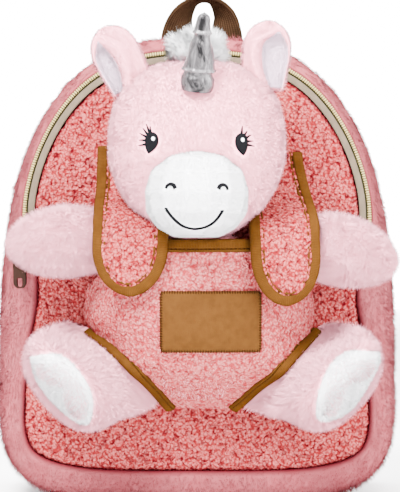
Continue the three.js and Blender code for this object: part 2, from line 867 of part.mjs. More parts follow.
const bibFront = gridOf(bibRows, bibColumns, (rise, across) => {
  const side = follow(bibSections, across < 0 ? "left" : "right", rise) * bibHalfWidth;
  const inset = rise < legOpeningTop ? bindingInset : 0;
  return bibPlace(rise, across * (1 - inset / side));
});
const bib = slab(bibFront, behindGrid(bibFront, bibWall));
addPiece("pouch_panel", bib, "bibFleece");

// All that lies ahead of a sheet's inner face, within its outline and its binding's
function spaceAhead(grid, reach) {
  const inside = behindGrid(grid, (bibWall + bindingThickness) / 2 + seat);
  return slab(
    grid.map((row) => row.map((p) => point(p.x, p.y - reach, p.z))),
    inside,
  );
}
const boundRows = [0, ...bibRows.slice(0, -1), 1 + bindingWidth / 2 / bibHeight];
const boundBib = gridOf(boundRows, bibColumns, (rise, across) => {
  const side = follow(bibSections, across < 0 ? "left" : "right", rise) * bibHalfWidth;
  const binding = rise < legOpeningTop ? bindingWidth / 2 : 0;
  return bibPlace(rise, across * (1 + binding / side));
});
const spaceAheadOfBib = spaceAhead(boundBib, bibLift + frontDome);

// Frames along an edge of a sheet: across points from the edge into the sheet, and out is ahead of it.
function edgeFrames(edge, inner, sink = 0) {
  return edge.map((place, i) => {
    const along = edge[Math.min(i + 1, edge.length - 1)]
      .clone()
      .sub(edge[Math.max(i - 1, 0)])
      .normalize();
    const across = inner[i].clone().sub(place);
    across.addScaledVector(along, -across.dot(along)).normalize();
    const out = along.clone().cross(across).normalize();
    if (out.y > 0) out.negate();
    return { at: place.clone().addScaledVector(out, -sink), across, out };
  });
}

const topBindingShares = shares(9).map((share) => lerp(-topBindingReach, topBindingReach, share));
const topBindingBand = strip(
  edgeFrames(
    topBindingShares.map((across) => bibPlace(1, across)),
    topBindingShares.map((across) => bibPlace(1 - bindingInset / bibHeight, across)),
    bibWall / 2,
  ),
  bindingWidth,
  bindingThickness,
  softSection,
);
const topBinding = carve(topBindingBand, [bib], seat);
addPiece("pouch_top_binding", topBinding, "binding");

function legBinding(side) {
  const rises = shares(10).map((share) => lerp(legBindingStart, legOpeningTop - legBindingEndGap, share));
  const frames = edgeFrames(
    rises.map((rise) => bibPlace(rise, side)),
    rises.map((rise) => bibPlace(rise, side * legBindingInward)),
    bibWall / 2,
  );
  const band = strip(frames, bindingWidth, bindingThickness, softSection);
  return carve(band, [frontPanel, bib], seat);
}
const legBindings = { left: legBinding(-1), right: legBinding(1) };
addPiece("leg_binding_left", legBindings.left, "binding");
addPiece("leg_binding_right", legBindings.right, "binding");

// Patch

const patchGrid = gridOf(shares(3), shares(5), (up, along) => {
  const z = patchCentreHeight + (up - 0.5) * patchHeight;
  const x = patchCentre + (along - 0.5) * patchWidth;
  const rise = (z - bibBase) / bibHeight;
  return bibPlace(rise, bibAcross(x, rise), seat + patchThickness);
});
const patch = carve(slab(patchGrid, behindGrid(patchGrid, patchThickness)), [bib], seat);
addPiece("patch", patch, "leather");

// Shoulder flaps

const flapReach = bibLift + bibWall + bindingThickness - flapWall;

// A place on a flap: a share of its drop, and -1 to 1 across it.
function flapPlace(place, side, drop, across) {
  const rounding = clamp((drop - 1 + flapRoundShare) / flapRoundShare, 0, 1);
  const half = flapHalfWidth * Math.sqrt(1 - rounding ** 2);
  const x = place.x + place.tilt * drop + across * half;
  const z = flapTopHeight - place.lower - drop * flapLength;
  const curlShare = smoothstep(drop, flapCurlSpan.from, flapCurlSpan.to);
  const curl = flapCurl * Math.max(0, across * side) ** 2 * curlShare;
  const lift = seat + flapWall + follow(flapDrape, "lift", clamp(drop, 0, 1)) * flapReach - curl;
  return point(x, frontY(x, z) - lift, z);
}

function makeFlap(name) {
  const place = flapPlaces[name];
  const side = Math.sign(place.x);
  const lastDrop = 1 - bindingInset / flapLength;
  const drops = shares(11).map((share) => lastDrop * (1 - (1 - share) ** flapRowPower));
  const inner = 1 - bindingInset / flapHalfWidth;
  const grid = gridOf(drops, shares(5), (drop, share) => {
    const rounding = clamp((drop / lastDrop - 1 + flapRoundShare) / flapRoundShare, 0, flapEndShare);
    const straight = flapPlace(place, side, Math.min(drop, 1 - flapRoundShare), 0);
    const across = lerp(-1, 1, share) * inner * Math.sqrt(1 - rounding ** 2);
    const at = flapPlace(place, side, drop, 0);
    const full = flapPlace(place, side, Math.min(drop, 1 - flapRoundShare), across);
    return point(at.x + full.x - straight.x, at.y + full.y - straight.y, at.z);
  });
  return slab(grid, behindGrid(grid, flapWall));
}

// The binding's line runs down one side, round the end and up the other.
function flapBinding(name) {
  const place = flapPlaces[name];
  const side = Math.sign(place.x);
  const line = (scale) =>
    shares(23).map((share) => {
      const turn = lerp(-1, 1, share);
      const straight = 1 - flapRoundShare;
      const onSide = Math.abs(turn) > 1 - flapSideShare;
      if (onSide) {
        const up = (Math.abs(turn) - (1 - flapSideShare)) / flapSideShare;
        return flapPlace(place, side, straight * (1 - up), Math.sign(turn) * scale);
      }
      const round = (Math.abs(turn) / (1 - flapSideShare)) * (Math.PI / 2);
      const at = flapPlace(place, side, straight + flapRoundShare * Math.cos(round) * scale, 0);
      const full = flapPlace(place, side, straight, Math.sign(turn) * Math.sin(round) * scale);
      const middle = flapPlace(place, side, straight, 0);
      return point(at.x + full.x - middle.x, at.y + full.y - middle.y, at.z);
    });
  const frames = edgeFrames(line(1), line(flapBindingInward), flapWall / 2);
  return strip(frames, bindingWidth, bindingThickness);
}

const flaps = {};
const flapBindings = {};
for (const name of ["left", "right"]) {
  const underneath = [bib, topBinding, frontPanel, patch];
  const sheet = carve(makeFlap(name), underneath, seat);
  flapBindings[name] = carve(flapBinding(name), [...underneath, sheet], seat);
  flaps[name] = sheet;
  addPiece(`strap_flap_${name}`, flaps[name], "fleece");
  addPiece(`flap_binding_${name}`, flapBindings[name], "binding");
}
function spaceAheadOfFlap(name) {
  const place = flapPlaces[name];
  const outer = 1 + bindingWidth / 2 / flapHalfWidth;
  const grid = gridOf(shares(12), [-outer, -0.5, 0, 0.5, outer], (drop, across) => {
    const at = flapPlace(place, Math.sign(place.x), Math.min(drop, 1 - flapRoundShare), across);
    return point(at.x, at.y, flapPlace(place, 0, drop, 0).z);
  });
  return spaceAhead(grid, bibLift);
}
const flapParts = [...Object.values(flaps), ...Object.values(flapBindings)];

// Toy

const headCentre = point(0, frontY(0, headCentreHeight) - headHalfDepth, headCentreHeight);
const fullHead = roundBody(
  headCentre,
  { x: headHalfWidth, y: headHalfDepth, z: headRise },
  { columns: 18, rows: 11, power: headCrownPower, lower: { z: headDrop, power: headChinPower } },
);

// The height of the crown of the head at a distance to the side and ahead of its middle.
function crownHeight(x, ahead) {
  const girth = Math.hypot(x / headHalfWidth, ahead / headHalfDepth);
  return headCentre.z + headRise * (1 - girth ** headCrownPower) ** (1 / headCrownPower);
}

const muzzleCentre = point(0, headCentre.y - muzzleAhead, headCentre.z - muzzleLower);
const fullMuzzle = roundBody(muzzleCentre, muzzleHalf, {
  columns: 14,
  rows: 8,
  power: muzzlePower,
});
const muzzle = carve(carve(fullMuzzle, [fullHead], -plushThickness), flapParts);
const headWithSocket = fullHead
  .subtract(grown(fullMuzzle, seat))
  .add(grown(fullHead, -plushThickness - seat));
const head = carve(headWithSocket, [frontPanel, topBinding, ...flapParts]);
addPiece("plush_head", head, "plush");
addPiece("muzzle", muzzle, "whitePlush");

// A stuffed limb along a curve, whose girth follows a table; it may be flatter from front to back.
function limb(curve, sections, radius, flatness = 1, sides = 10) {
  return loft(
    sections.map((section) => {
      const middle = curve.getPoint(section.at);
      const along = curve.getTangent(section.at);
      const ahead = point(0, -1, 0).addScaledVector(along, along.y).normalize();
      const up = along.clone().cross(ahead);
      const girth = section.girth * radius;
      return shares(sides + 1)
        .slice(1)
        .map((share) => {
          const turn = share * 2 * Math.PI;
          return middle
            .clone()
            .addScaledVector(up, girth * Math.cos(turn))
            .addScaledVector(ahead, girth * Math.sin(turn) * flatness);
        });
    }),
  );
}

const sides = [
  { name: "left", sign: -1 },
  { name: "right", sign: 1 },
];

function armLimb(name, sign) {
  const { x, droop } = armPlaces[name];
  const y = frontY(x, armRootHeight) - armAhead;
  const tip = x + sign * armLength;
  const curve = new THREE.QuadraticBezierCurve3(
    point(x, y, armRootHeight),
    point(lerp(x, tip, 0.5), y, armRootHeight - droop * armSagShare),
    point(tip, y, armRootHeight - droop),
  );
  return limb(curve, armSections, armRadius, armFlatness);
}

// The frame of a foot: its long way, the way across and the way that the sole faces.
const solePlane = footSoleShare * footDeepHalf;
function footFrame(name, sign) {
  const x = footPlaces[name];
  const middle = point(x, frontY(x, footHeight) - footAhead, footHeight);
  const soleFacing = point(sign * soleTurn.out, -soleTurn.ahead, -soleTurn.down).normalize();
  const long = point(sign * footLean.out, 0, footLean.up);
  long.addScaledVector(soleFacing, -long.dot(soleFacing)).normalize();
  const across = soleFacing.clone().cross(long);
  return new THREE.Matrix4().makeBasis(long, across, soleFacing).setPosition(middle);
}

// A leg: a limb from the hip, fused to a round foot that is cut flat at the sole.
function legLimb(sign, frame) {
  const ball = solidOfGeometry(
    new THREE.SphereGeometry(1, 14, 9),
    frame.clone().scale(point(footLongHalf, footAcrossHalf, footDeepHalf)),
  );
  const below = new THREE.Matrix4().makeTranslation(0, 0, solePlane + footDeepHalf / 2);
  const beyondSole = solidOfGeometry(
    new THREE.BoxGeometry(4 * footLongHalf, 4 * footLongHalf, footDeepHalf),
    frame.clone().multiply(below),
  );
  const foot = new THREE.Vector3().setFromMatrixPosition(frame);
  const hip = point(sign * hipOut, frontY(hipOut, hipHeight) - hipAhead, hipHeight);
  const knee = hip.clone().lerp(foot, 0.5).add(point(0, 0, kneeRise));
  const curve = new THREE.QuadraticBezierCurve3(hip, knee, foot);
  return ball.add(limb(curve, legSections, legRadius, 1, 9)).subtract(beyondSole);
}

function footPad(frame) {
  const flatShare = Math.sqrt(1 - footSoleShare ** 2) * soleShare;
  const ring = (share, raise) =>
    shares(17)
      .slice(1)
      .map((turnShare) => {
        const turn = turnShare * 2 * Math.PI;
        return point(
          share * flatShare * footLongHalf * Math.cos(turn),
          share * flatShare * footAcrossHalf * Math.sin(turn),
          solePlane + seat + raise,
        ).applyMatrix4(frame);
      });
  const middle = (raise) => point(0, 0, solePlane + seat + raise).applyMatrix4(frame);
  return disc(
    soleRings.map((row) => ring(row.share, row.wall * soleWall + row.dome * soleDome)),
    middle(soleWall + soleDome),
    [ring(1, 0), ring(0.5, 0)],
    middle(0),
  );
}

const wholeLimbs = [];
for (const { name, sign } of sides) {
  const arm = armLimb(name, sign);
  const besideArm = [frontPanel, bib, topBinding, head, ...flapParts];
  addPiece(`arm_${name}`, carve(arm.subtract(spaceAheadOfFlap(name)), besideArm), "plush");

  const frame = footFrame(name, sign);
  const leg = legLimb(sign, frame);
  const besideLeg = [frontPanel, legBindings[name]];
  addPiece(`leg_${name}`, carve(leg.subtract(spaceAheadOfBib), besideLeg), "plush");
  addPiece(`foot_pad_${name}`, footPad(frame), "whitePlush");
  wholeLimbs.push(arm, leg);
}

// The torso fills what the limbs and the head leave behind the bib.
const torsoCentre = point(
  bibCentre,
  frontY(bibCentre, torsoCentreHeight) - torsoHalf.y - torsoAhead,
  torsoCentreHeight,
);
const torso = carve(
  roundBody(torsoCentre, torsoHalf, { columns: 12, rows: 8 }).subtract(spaceAheadOfBib),
  [frontPanel, fullHead, muzzle, ...wholeLimbs, ...Object.values(legBindings), ...flapParts],
);
addPiece("plush_torso", torso, "plush");

// Horn, with three puffed sections

const hornBase = point(0, headCentre.y - hornAhead, crownHeight(0, hornAhead));
const hornTip = hornBase.clone().add(point(hornLean, -hornForward, hornLength));
const hornAxis = hornTip.clone().sub(hornBase).normalize();
hornBase.addScaledVector(hornAxis, -hornSink);
const horn = carve(
  limb(new THREE.LineCurve3(hornBase, hornTip), hornSections, hornRadius),
  [head],
  seat,
);
addPiece("horn", horn, "silver");

// Mane, a tuft of locks fused to a round backing

const maneCentre = point(0, headCentre.y + maneBack, crownHeight(0, 0));
const maneSolid = maneLocks.reduce((tuft, lock) => {
  const [turn, lean] = [degToRad(lock.turn), degToRad(lock.lean)];
  const direction = point(
    Math.sin(lean) * Math.sin(turn),
    -Math.sin(lean) * Math.cos(turn),
    Math.cos(lean),
  );
  const tip = maneCentre.clone().addScaledVector(direction, lock.reach * maneHalf.z);
  const line = new THREE.LineCurve3(maneCentre, tip);
  return tuft.add(limb(line, lockSections, lockRadius, 1, 6));
}, roundBody(maneCentre, maneHalf, { columns: 10, rows: 6 }));
const mane = carve(maneSolid, [head, horn], seat);
addPiece("mane", mane, "whitePlush");

// Ears, cupped and lined

for (const { name, sign } of sides) {
  const place = earPlaces[name];
  const lean = degToRad(place.lean);
  const turn = degToRad(place.face);
  const axis = point(Math.sin(lean), 0, Math.cos(lean));
  const facing = point(Math.sin(turn), -Math.cos(turn), 0);
  facing.addScaledVector(axis, -facing.dot(axis)).normalize();
  const sideways = axis.clone().cross(facing);
  const base = point(place.x, headCentre.y, crownHeight(place.x, 0)).addScaledVector(axis, -earSink);
  const earPoint = (rise, across) => {
    const half = earHalfWidth * follow(earSections, "width", rise);
    const cup = earCup * across ** 2 * (half / earHalfWidth);
    return base
      .clone()
      .addScaledVector(axis, rise * earLength)
      .addScaledVector(sideways, across * half)
      .addScaledVector(facing, cup);
  };
  const rows = earSections.map((row) => row.at);
  const inner = gridOf(rows, shares(6), (rise, share) => earPoint(rise, lerp(-1, 1, share)));
  const ear = carve(slab(inner, behindGrid(inner, earWall, facing)), [head, mane], seat);
  const liningPoint = (rise, share) =>
    earPoint(lerp(earLiningRise.from, earLiningRise.to, rise), lerp(-earLiningShare, earLiningShare, share));
  const lined = gridOf(shares(5), shares(4), liningPoint);
  const lining = slab(
    behindGrid(lined, -2 * seat - earLiningWall, facing),
    behindGrid(lined, -2 * seat, facing),
  );
  addPiece(`ear_${name}`, ear, "plush");
  addPiece(`ear_lining_${name}`, carve(lining, [head, mane], seat), "whitePlush");
}

// Haul loop

const loopCurvePlaces = loopSections.map((section) =>
  point(
    loopCentre + section.x * loopHalfSpan,
    loopDepth,
    bagHeight - loopFootSink + section.z * (loopRise + loopFootSink),
  ),
);
const loopCurve = new THREE.CatmullRomCurve3(loopCurvePlaces);
const loopFrames = shares(21).map((share) => {
  const at = loopCurve.getPoint(share);
  const along = loopCurve.getTangent(share);
  const inPlane = point(along.z, 0, -along.x);
  const turn = degToRad(90) * Math.sin(Math.PI * share) ** loopTwistPower;
  const across = inPlane.multiplyScalar(Math.cos(turn)).add(point(0, Math.sin(turn), 0));
  return { at, across, out: along.clone().cross(across).normalize() };
});
const haulLoop = carve(strip(loopFrames, loopWidth, webbingThickness), [gusset, backPanel], seat);
addPiece("haul_loop", haulLoop, "webbing");

// Shoulder straps, each with an adjuster and webbing to the bottom corner

function backFrames(curve, count, widths) {
  return shares(count).map((share) => {
    const at = curve.getPointAt(share);
    const along = curve.getTangentAt(share);
    const out = point(0, 1, 0).addScaledVector(along, -along.y).normalize();
    return { at, across: out.clone().cross(along), out, along, width: widths?.(share) };
  });
}

for (const { name, sign } of sides) {
  const topHeight = bagHeight - strapTopDrop;
  const topDepth = backY(strapTopHalfSpan, topHeight) + seat + strapThickness / 2;
  const curve = new THREE.CatmullRomCurve3(
    strapSections.map((section) =>
      point(
        sign * (strapTopHalfSpan + section.out * strapSpread),
        topDepth + section.arch * strapArch,
        topHeight - section.at * strapDrop,
      ),
    ),
  );
  const width = (share) => follow(strapSections, "width", share);
  const frames = backFrames(curve, 13, width);
  const strap = carve(strip(frames, strapWidth, strapThickness, softSection), [backPanel], seat);
  addPiece(`shoulder_strap_${name}`, strap, "fur");

  const end = frames.at(-1);
  const frame = new THREE.Matrix4().makeBasis(end.across, end.out, end.along);
  const adjusterBox = (size, along) =>
    solidOfGeometry(
      new THREE.BoxGeometry(...size),
      frame
        .clone()
        .setPosition(end.at)
        .multiply(new THREE.Matrix4().makeTranslation(0, 0, seat + along)),
    );
  const slotSize = [strapWebbingWidth + 2 * adjusterSlotClearance, 2 * adjusterThickness, adjusterSlot];
  const adjuster = adjusterSlotPlaces.reduce(
    (whole, share) => whole.subtract(adjusterBox(slotSize, share * adjusterLength)),
    adjusterBox([adjusterWidth, adjusterThickness, adjusterLength], adjusterLength / 2),
  );
  addPiece(`strap_adjuster_${name}`, adjuster, "plastic");

  const start = end.at.clone().addScaledVector(end.along, adjusterLength + 2 * seat);
  const x = sign * (bagWidth / 2 - webbingEndInset);
  const lie = webbingThickness / 2 + seat;
  const tail = point(x, backY(x, webbingEndHeight) + lie, webbingEndHeight);
  const above = tail.clone().add(point(-sign * webbingEndRun * webbingEndSlant, 0, webbingEndRun));
  above.y = backY(above.x, above.z) + lie + webbingEndLift;
  const webbingCurve = new THREE.CubicBezierCurve3(
    start,
    start.clone().addScaledVector(end.along, webbingEndRun),
    above,
    tail,
  );
  const webbing = strip(backFrames(webbingCurve, 12), strapWebbingWidth, webbingThickness);
  addPiece(`strap_webbing_${name}`, carve(webbing, [backPanel, gusset, adjuster], seat), "webbing");
}

export default backpack;
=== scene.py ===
"""Looks of a kids animal backpack: a curly fleece bag with a plush unicorn in a bib on its front.

Metres, +Z up, -Y towards the viewer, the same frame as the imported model. Every soft piece is dressed
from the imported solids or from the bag's own outline, and its pile is real geometry.
"""

import logging
import math
from dataclasses import dataclass, field
from enum import Enum

import bmesh
import bpy
import numpy as np
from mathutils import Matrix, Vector, noise
from mathutils.bvhtree import BVHTree


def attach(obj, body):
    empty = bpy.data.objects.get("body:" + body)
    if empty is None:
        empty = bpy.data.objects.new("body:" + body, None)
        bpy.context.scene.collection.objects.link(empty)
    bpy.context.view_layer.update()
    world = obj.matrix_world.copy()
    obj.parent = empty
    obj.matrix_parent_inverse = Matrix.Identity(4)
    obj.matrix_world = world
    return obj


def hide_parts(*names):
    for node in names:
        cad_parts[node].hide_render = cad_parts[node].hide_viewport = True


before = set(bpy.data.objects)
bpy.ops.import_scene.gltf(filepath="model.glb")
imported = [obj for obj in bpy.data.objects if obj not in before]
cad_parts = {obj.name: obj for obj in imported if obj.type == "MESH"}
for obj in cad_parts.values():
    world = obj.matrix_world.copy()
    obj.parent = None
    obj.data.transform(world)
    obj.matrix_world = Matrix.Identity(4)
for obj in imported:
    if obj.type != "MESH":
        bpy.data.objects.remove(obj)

log = logging.getLogger("kids_animal_backpack")

BAG = "bag"
MM = 0.001
SIDES = (("left", -1.0), ("right", 1.0))
CURL_SIZE = 0.0024
CURL_DEPTH = 0.0009
STITCH_PITCH = 0.0024
STITCH_SIZE = (0.0018, 0.0006, 0.0006)
IN_FRONT = -0.3

Piece = bpy.types.Object
Socket = bpy.types.NodeSocket
Array = np.ndarray
Colour = tuple[float, float, float, float]


# Tables and curves


class Profile:
    """A smooth curve through a short table of rows."""

    def __init__(self, *rows: tuple[float, float]) -> None:
        """Keep the rows, each a share and its value."""
        self.at = np.array([row[0] for row in rows], float)
        self.value = np.array([row[1] for row in rows], float)
        middle = np.diff(self.value) / np.diff(self.at)
        inner = (middle[:-1] + middle[1:]) / 2
        self.slope = np.concatenate(([middle[0]], inner, [middle[-1]]))

    def __call__(self, share: Array | float) -> Array:
        """The value at a share, or at each of many."""
        share = np.clip(np.asarray(share, float), self.at[0], self.at[-1])
        row = np.clip(np.searchsorted(self.at, share, side="right") - 1, 0, len(self.at) - 2)
        span = self.at[row + 1] - self.at[row]
        t = (share - self.at[row]) / span
        return (
            (2 * t**3 - 3 * t**2 + 1) * self.value[row]
            + (t**3 - 2 * t**2 + t) * span * self.slope[row]
            + (3 * t**2 - 2 * t**3) * self.value[row + 1]
            + (t**3 - t**2) * span * self.slope[row + 1]
        )


def smoothstep(value: Array | float, low: float, high: float) -> Array:
    """A smooth ramp from 0 at low to 1 at high."""
    t = np.clip((np.asarray(value, float) - low) / (high - low), 0, 1)
    return t * t * (3 - 2 * t)


def unit(vectors: Array) -> Array:
    """Each row of an array of vectors at length 1."""
    return vectors / np.maximum(np.linalg.norm(vectors, axis=-1, keepdims=True), 1e-12)


def resample(path: Array, count: int, closed: bool = False) -> Array:
    """Points spaced evenly along a path."""
    points = np.vstack([path, path[:1]]) if closed else path
    run = lengths_along(points)
    wanted = np.linspace(0, run[-1], count + 1)[:-1] if closed else np.linspace(0, run[-1], count)
    return np.column_stack([np.interp(wanted, run, points[:, axis]) for axis in range(points.shape[1])])


def lengths_along(points: Array) -> Array:
    """The length from the start of a path to each of its points."""
    return np.concatenate(([0], np.cumsum(np.linalg.norm(np.diff(points, axis=0), axis=1))))


# Meshes


def make_object(name: str, vertices: Array, faces: list, smooth: bool = True) -> Piece:
    """A new mesh object at the origin, linked to the scene."""
    mesh = bpy.data.meshes.new(name)
    mesh.from_pydata([tuple(v) for v in vertices], [], [tuple(int(i) for i in f) for f in faces])
    mesh.validate()
    if smooth:
        mesh.shade_smooth()
    else:
        mesh.shade_flat()
    return link(mesh)


def link(data: bpy.types.ID) -> Piece:
    """Put a mesh, a light or a camera into the scene as an object of the same name."""
    piece = bpy.data.objects.new(data.name, data)
    bpy.context.scene.collection.objects.link(piece)
    return piece


def face_outwards(piece: Piece) -> None:
    """Turn all faces of a closed mesh outwards."""
    work = bmesh.new()
    work.from_mesh(piece.data)
    bmesh.ops.recalc_face_normals(work, faces=work.faces)
    work.to_mesh(piece.data)
    work.free()


def grid_faces(rows: int, columns: int, wrap: bool = False, start: int = 0) -> Array:
    """The quads of a grid of vertices numbered row by row."""
    r = np.arange(rows - 1)[:, None]
    c = np.arange(columns if wrap else columns - 1)[None, :]
    n = (c + 1) % columns
    corners = [r * columns + c, r * columns + n, (r + 1) * columns + n, (r + 1) * columns + c]
    return np.stack(corners, axis=-1).reshape(-1, 4) + start


def tube_faces(rows: int, columns: int) -> list:
    """The faces of a tube of rings, closed to one more vertex at each end."""
    faces = [list(quad) for quad in grid_faces(rows, columns, wrap=True)]
    last = (rows - 1) * columns
    for i in range(columns):
        j = (i + 1) % columns
        faces.append([j, i, rows * columns])
        faces.append([last + i, last + j, rows * columns + 1])
    return faces


def set_attribute(piece: Piece, name: str, values: Array) -> None:
    """Store one number a vertex under a name."""
    layer = piece.data.attributes.get(name) or piece.data.attributes.new(name, "FLOAT", "POINT")
    layer.data.foreach_set("value", np.ascontiguousarray(values, np.float32))


def positions(piece: Piece) -> Array:
    """The vertices of a piece as an array."""
    flat = np.empty(len(piece.data.vertices) * 3, np.float32)
    piece.data.vertices.foreach_get("co", flat)
    return flat.reshape(-1, 3).astype(float)


def set_positions(piece: Piece, points: Array) -> None:
    """Move the vertices of a piece."""
    piece.data.vertices.foreach_set("co", np.ascontiguousarray(points, np.float32).ravel())
    piece.data.update()


def sheet_solid(name: str, front: Array, back: Array) -> Piece:
    """A closed sheet between a front and a back grid of the same shape.

    Args:
        name: the object's name.
        front: rows by columns by 3, the visible side.
        back: the same for the hidden side.

    Returns:
        The object, with the attribute pile at 1 on its front and 0 behind.
    """
    rows, columns = front.shape[:2]
    count = rows * columns
    vertices = np.vstack([front.reshape(-1, 3), back.reshape(-1, 3)])
    quads = grid_faces(rows, columns)
    behind = quads[:, ::-1] + count
    top = np.arange(columns)
    right = np.arange(rows) * columns + columns - 1
    bottom = (rows - 1) * columns + np.arange(columns)[::-1]
    left = (np.arange(rows) * columns)[::-1]
    rim = np.concatenate([top[:-1], right[:-1], bottom[:-1], left[:-1]])
    after = np.roll(rim, -1)
    wall = np.column_stack([after, rim, rim + count, after + count])
    piece = make_object(name, vertices, [*quads, *behind, *wall])
    face_outwards(piece)
    set_attribute(piece, "pile", np.repeat([1.0, 0.0], count))
    return piece


def uv_grid(piece: Piece, uv: Array) -> None:
    """Give a piece a UV map from one pair of lengths a vertex."""
    layer = piece.data.uv_layers.new(name="Along")
    loops = np.empty(len(piece.data.loops), np.int32)
    piece.data.loops.foreach_get("vertex_index", loops)
    layer.data.foreach_set("uv", np.ascontiguousarray(uv[loops], np.float32).ravel())


def sweep(name: str, at: Array, across: Array, out: Array, section: Array) -> Piece:
    """A closed band of one section along a path.

    Args:
        name: the object's name.
        at: the path's points.
        across: the section's first direction at each point.
        out: the section's second direction at each point.
        section: the outline of the section, as lengths across and out.

    Returns:
        The object, with a UV map of the lengths along and round it.
    """
    rings = (
        at[:, None, :]
        + across[:, None, :] * section[None, :, 0:1]
        + out[:, None, :] * section[None, :, 1:2]
    )
    vertices = np.vstack([rings.reshape(-1, 3), at[:1], at[-1:]])
    piece = make_object(name, vertices, tube_faces(*rings.shape[:2]))
    face_outwards(piece)
    uv = np.stack(np.meshgrid(lengths_along(at), lengths_along(section), indexing="ij"), axis=-1)
    uv = uv.reshape(-1, 2)
    uv_grid(piece, np.vstack([uv, uv[:1], uv[-1:]]))
    return piece


def rounded_section(width: float, thickness: float, corner: float = 0.5, steps: int = 5) -> Array:
    """The outline of a flat band with round edges, as lengths across and out."""
    radius = corner * thickness
    points = []
    for turn, (x, y) in enumerate(((1, 1), (-1, 1), (-1, -1), (1, -1))):
        for angle in np.linspace(turn * 90, turn * 90 + 90, steps):
            a = math.radians(angle)
            across = x * (width / 2 - radius) + radius * math.cos(a)
            points.append((across, y * (thickness / 2 - radius) + radius * math.sin(a)))
    return np.array(points)


def node_copy(name: str, node: str) -> Piece:
    """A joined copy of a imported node."""
    work = bmesh.new()
    work.from_mesh(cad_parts[node].data)
    bmesh.ops.remove_doubles(work, verts=work.verts, dist=1e-6)
    mesh = bpy.data.meshes.new(name)
    work.to_mesh(mesh)
    work.free()
    return link(mesh)


def soft_copy(name: str, node: str, voxel: float, rounds: int, shrink: float = 0.0) -> Piece:
    """A fine, smoothed copy of a packed soft solid."""
    piece = node_copy(name, node)
    remesh = piece.modifiers.new("remesh", "REMESH")
    remesh.mode = "VOXEL"
    remesh.voxel_size = voxel
    relax(piece, rounds)
    piece.data.shade_smooth()
    normals = np.array([tuple(vertex.normal) for vertex in piece.data.vertices])
    set_positions(piece, positions(piece) - normals * shrink)
    set_attribute(piece, "pile", np.ones(len(piece.data.vertices)))
    return piece


def bevelled_copy(name: str, node: str, width: float) -> Piece:
    """A copy of a packed hard part with its edges rounded."""
    piece = node_copy(name, node)
    bevel = piece.modifiers.new("bevel", "BEVEL")
    bevel.width = width
    bevel.segments = 2
    bevel.limit_method = "ANGLE"
    bevel.angle_limit = math.radians(30)
    freeze(piece)
    piece.data.shade_smooth()
    return piece


def grow_piece(piece: Piece, factors: tuple[float, float, float]) -> None:
    """Stretch a piece about its own middle."""
    points = positions(piece)
    middle = (points.min(axis=0) + points.max(axis=0)) / 2
    set_positions(piece, middle + (points - middle) * np.array(factors))


def relax(piece: Piece, rounds: int) -> None:
    """Smooth a piece."""
    smooth = piece.modifiers.new("smooth", "SMOOTH")
    smooth.factor = 0.5
    smooth.iterations = rounds
    freeze(piece)


def freeze(piece: Piece) -> None:
    """Turn the modified mesh of a piece into its plain mesh."""
    graph = bpy.context.evaluated_depsgraph_get()
    graph.update()
    mesh = bpy.data.meshes.new_from_object(piece.evaluated_get(graph), depsgraph=graph)
    piece.modifiers.clear()
    piece.data = mesh
    mesh.name = piece.name


def on_skin(
    skin: BVHTree, places: Array, raised: Array | float, depth: float = 0.0
) -> Array:
    """Points on a skin under places seen from the front, in metres."""
    raised = np.broadcast_to(raised, len(places))
    points = []
    for (x, z), lift in zip(places * MM, raised * MM):
        hit, normal = skin.ray_cast(Vector((x, IN_FRONT, z)), Vector((0, 1, 0)))[:2]
        if hit is None:
            hit, normal = skin.find_nearest(Vector((x, depth * MM, z)))[:2]
        points.append(hit + normal * lift)
    return np.array(points)


def sewn_spot(
    name: str, skin: BVHTree, places: Array, lift: Array, under: float, depth: float = 0.0
) -> Piece:
    """A thin closed spot on a skin."""
    rings, count = places.shape[:2]
    front = on_skin(skin, places.reshape(-1, 2), np.repeat(lift, count), depth)
    back = on_skin(skin, places[[0, -1]].reshape(-1, 2), under, depth)
    return disc_solid(name, front.reshape(rings, count, 3), back.reshape(2, count, 3))


def tree_of(pieces: list[Piece]) -> BVHTree:
    """A search tree of the surfaces of several pieces."""
    vertices: list = []
    faces: list = []
    for piece in pieces:
        start = len(vertices)
        vertices += [piece.matrix_world @ v.co for v in piece.data.vertices]
        faces += [[start + i for i in face.vertices] for face in piece.data.polygons]
    return BVHTree.FromPolygons(vertices, faces)


# Geometry node trees


class Nodes:
    """A short way to build the nodes of a tree."""

    def __init__(self, tree: bpy.types.NodeTree) -> None:
        """Keep the tree."""
        self.tree = tree

    def give(self, socket: Socket, value: object) -> None:
        """Link an output to a socket, or set the socket's own value."""
        if isinstance(value, Socket):
            self.tree.links.new(value, socket)
        else:
            socket.default_value = value

    def add(self, kind: str, inputs: dict | None = None, **settings: object) -> bpy.types.Node:
        """Add a node."""
        node = self.tree.nodes.new(kind)
        for key, value in settings.items():
            setattr(node, key, value)
        for key, value in (inputs or {}).items():
            if isinstance(key, int):
                socket = node.inputs[key]
            else:
                socket = next(s for s in node.inputs if s.name == key and s.enabled)
            self.give(socket, value)
        return node

    def math(self, operation: str, *values: object, clamp: bool = False) -> Socket:
        """A number worked out from others."""
        inputs = dict(enumerate(values))
        return self.add("ShaderNodeMath", inputs, operation=operation, use_clamp=clamp).outputs[0]

    def vector(self, operation: str, *values: object) -> Socket:
        """A vector worked out from others."""
        node = self.tree.nodes.new("ShaderNodeVectorMath")
        node.operation = operation
        for index, value in enumerate(values):
            self.give(node.inputs["Scale" if operation == "SCALE" and index == 1 else index], value)
        return node.outputs[0]


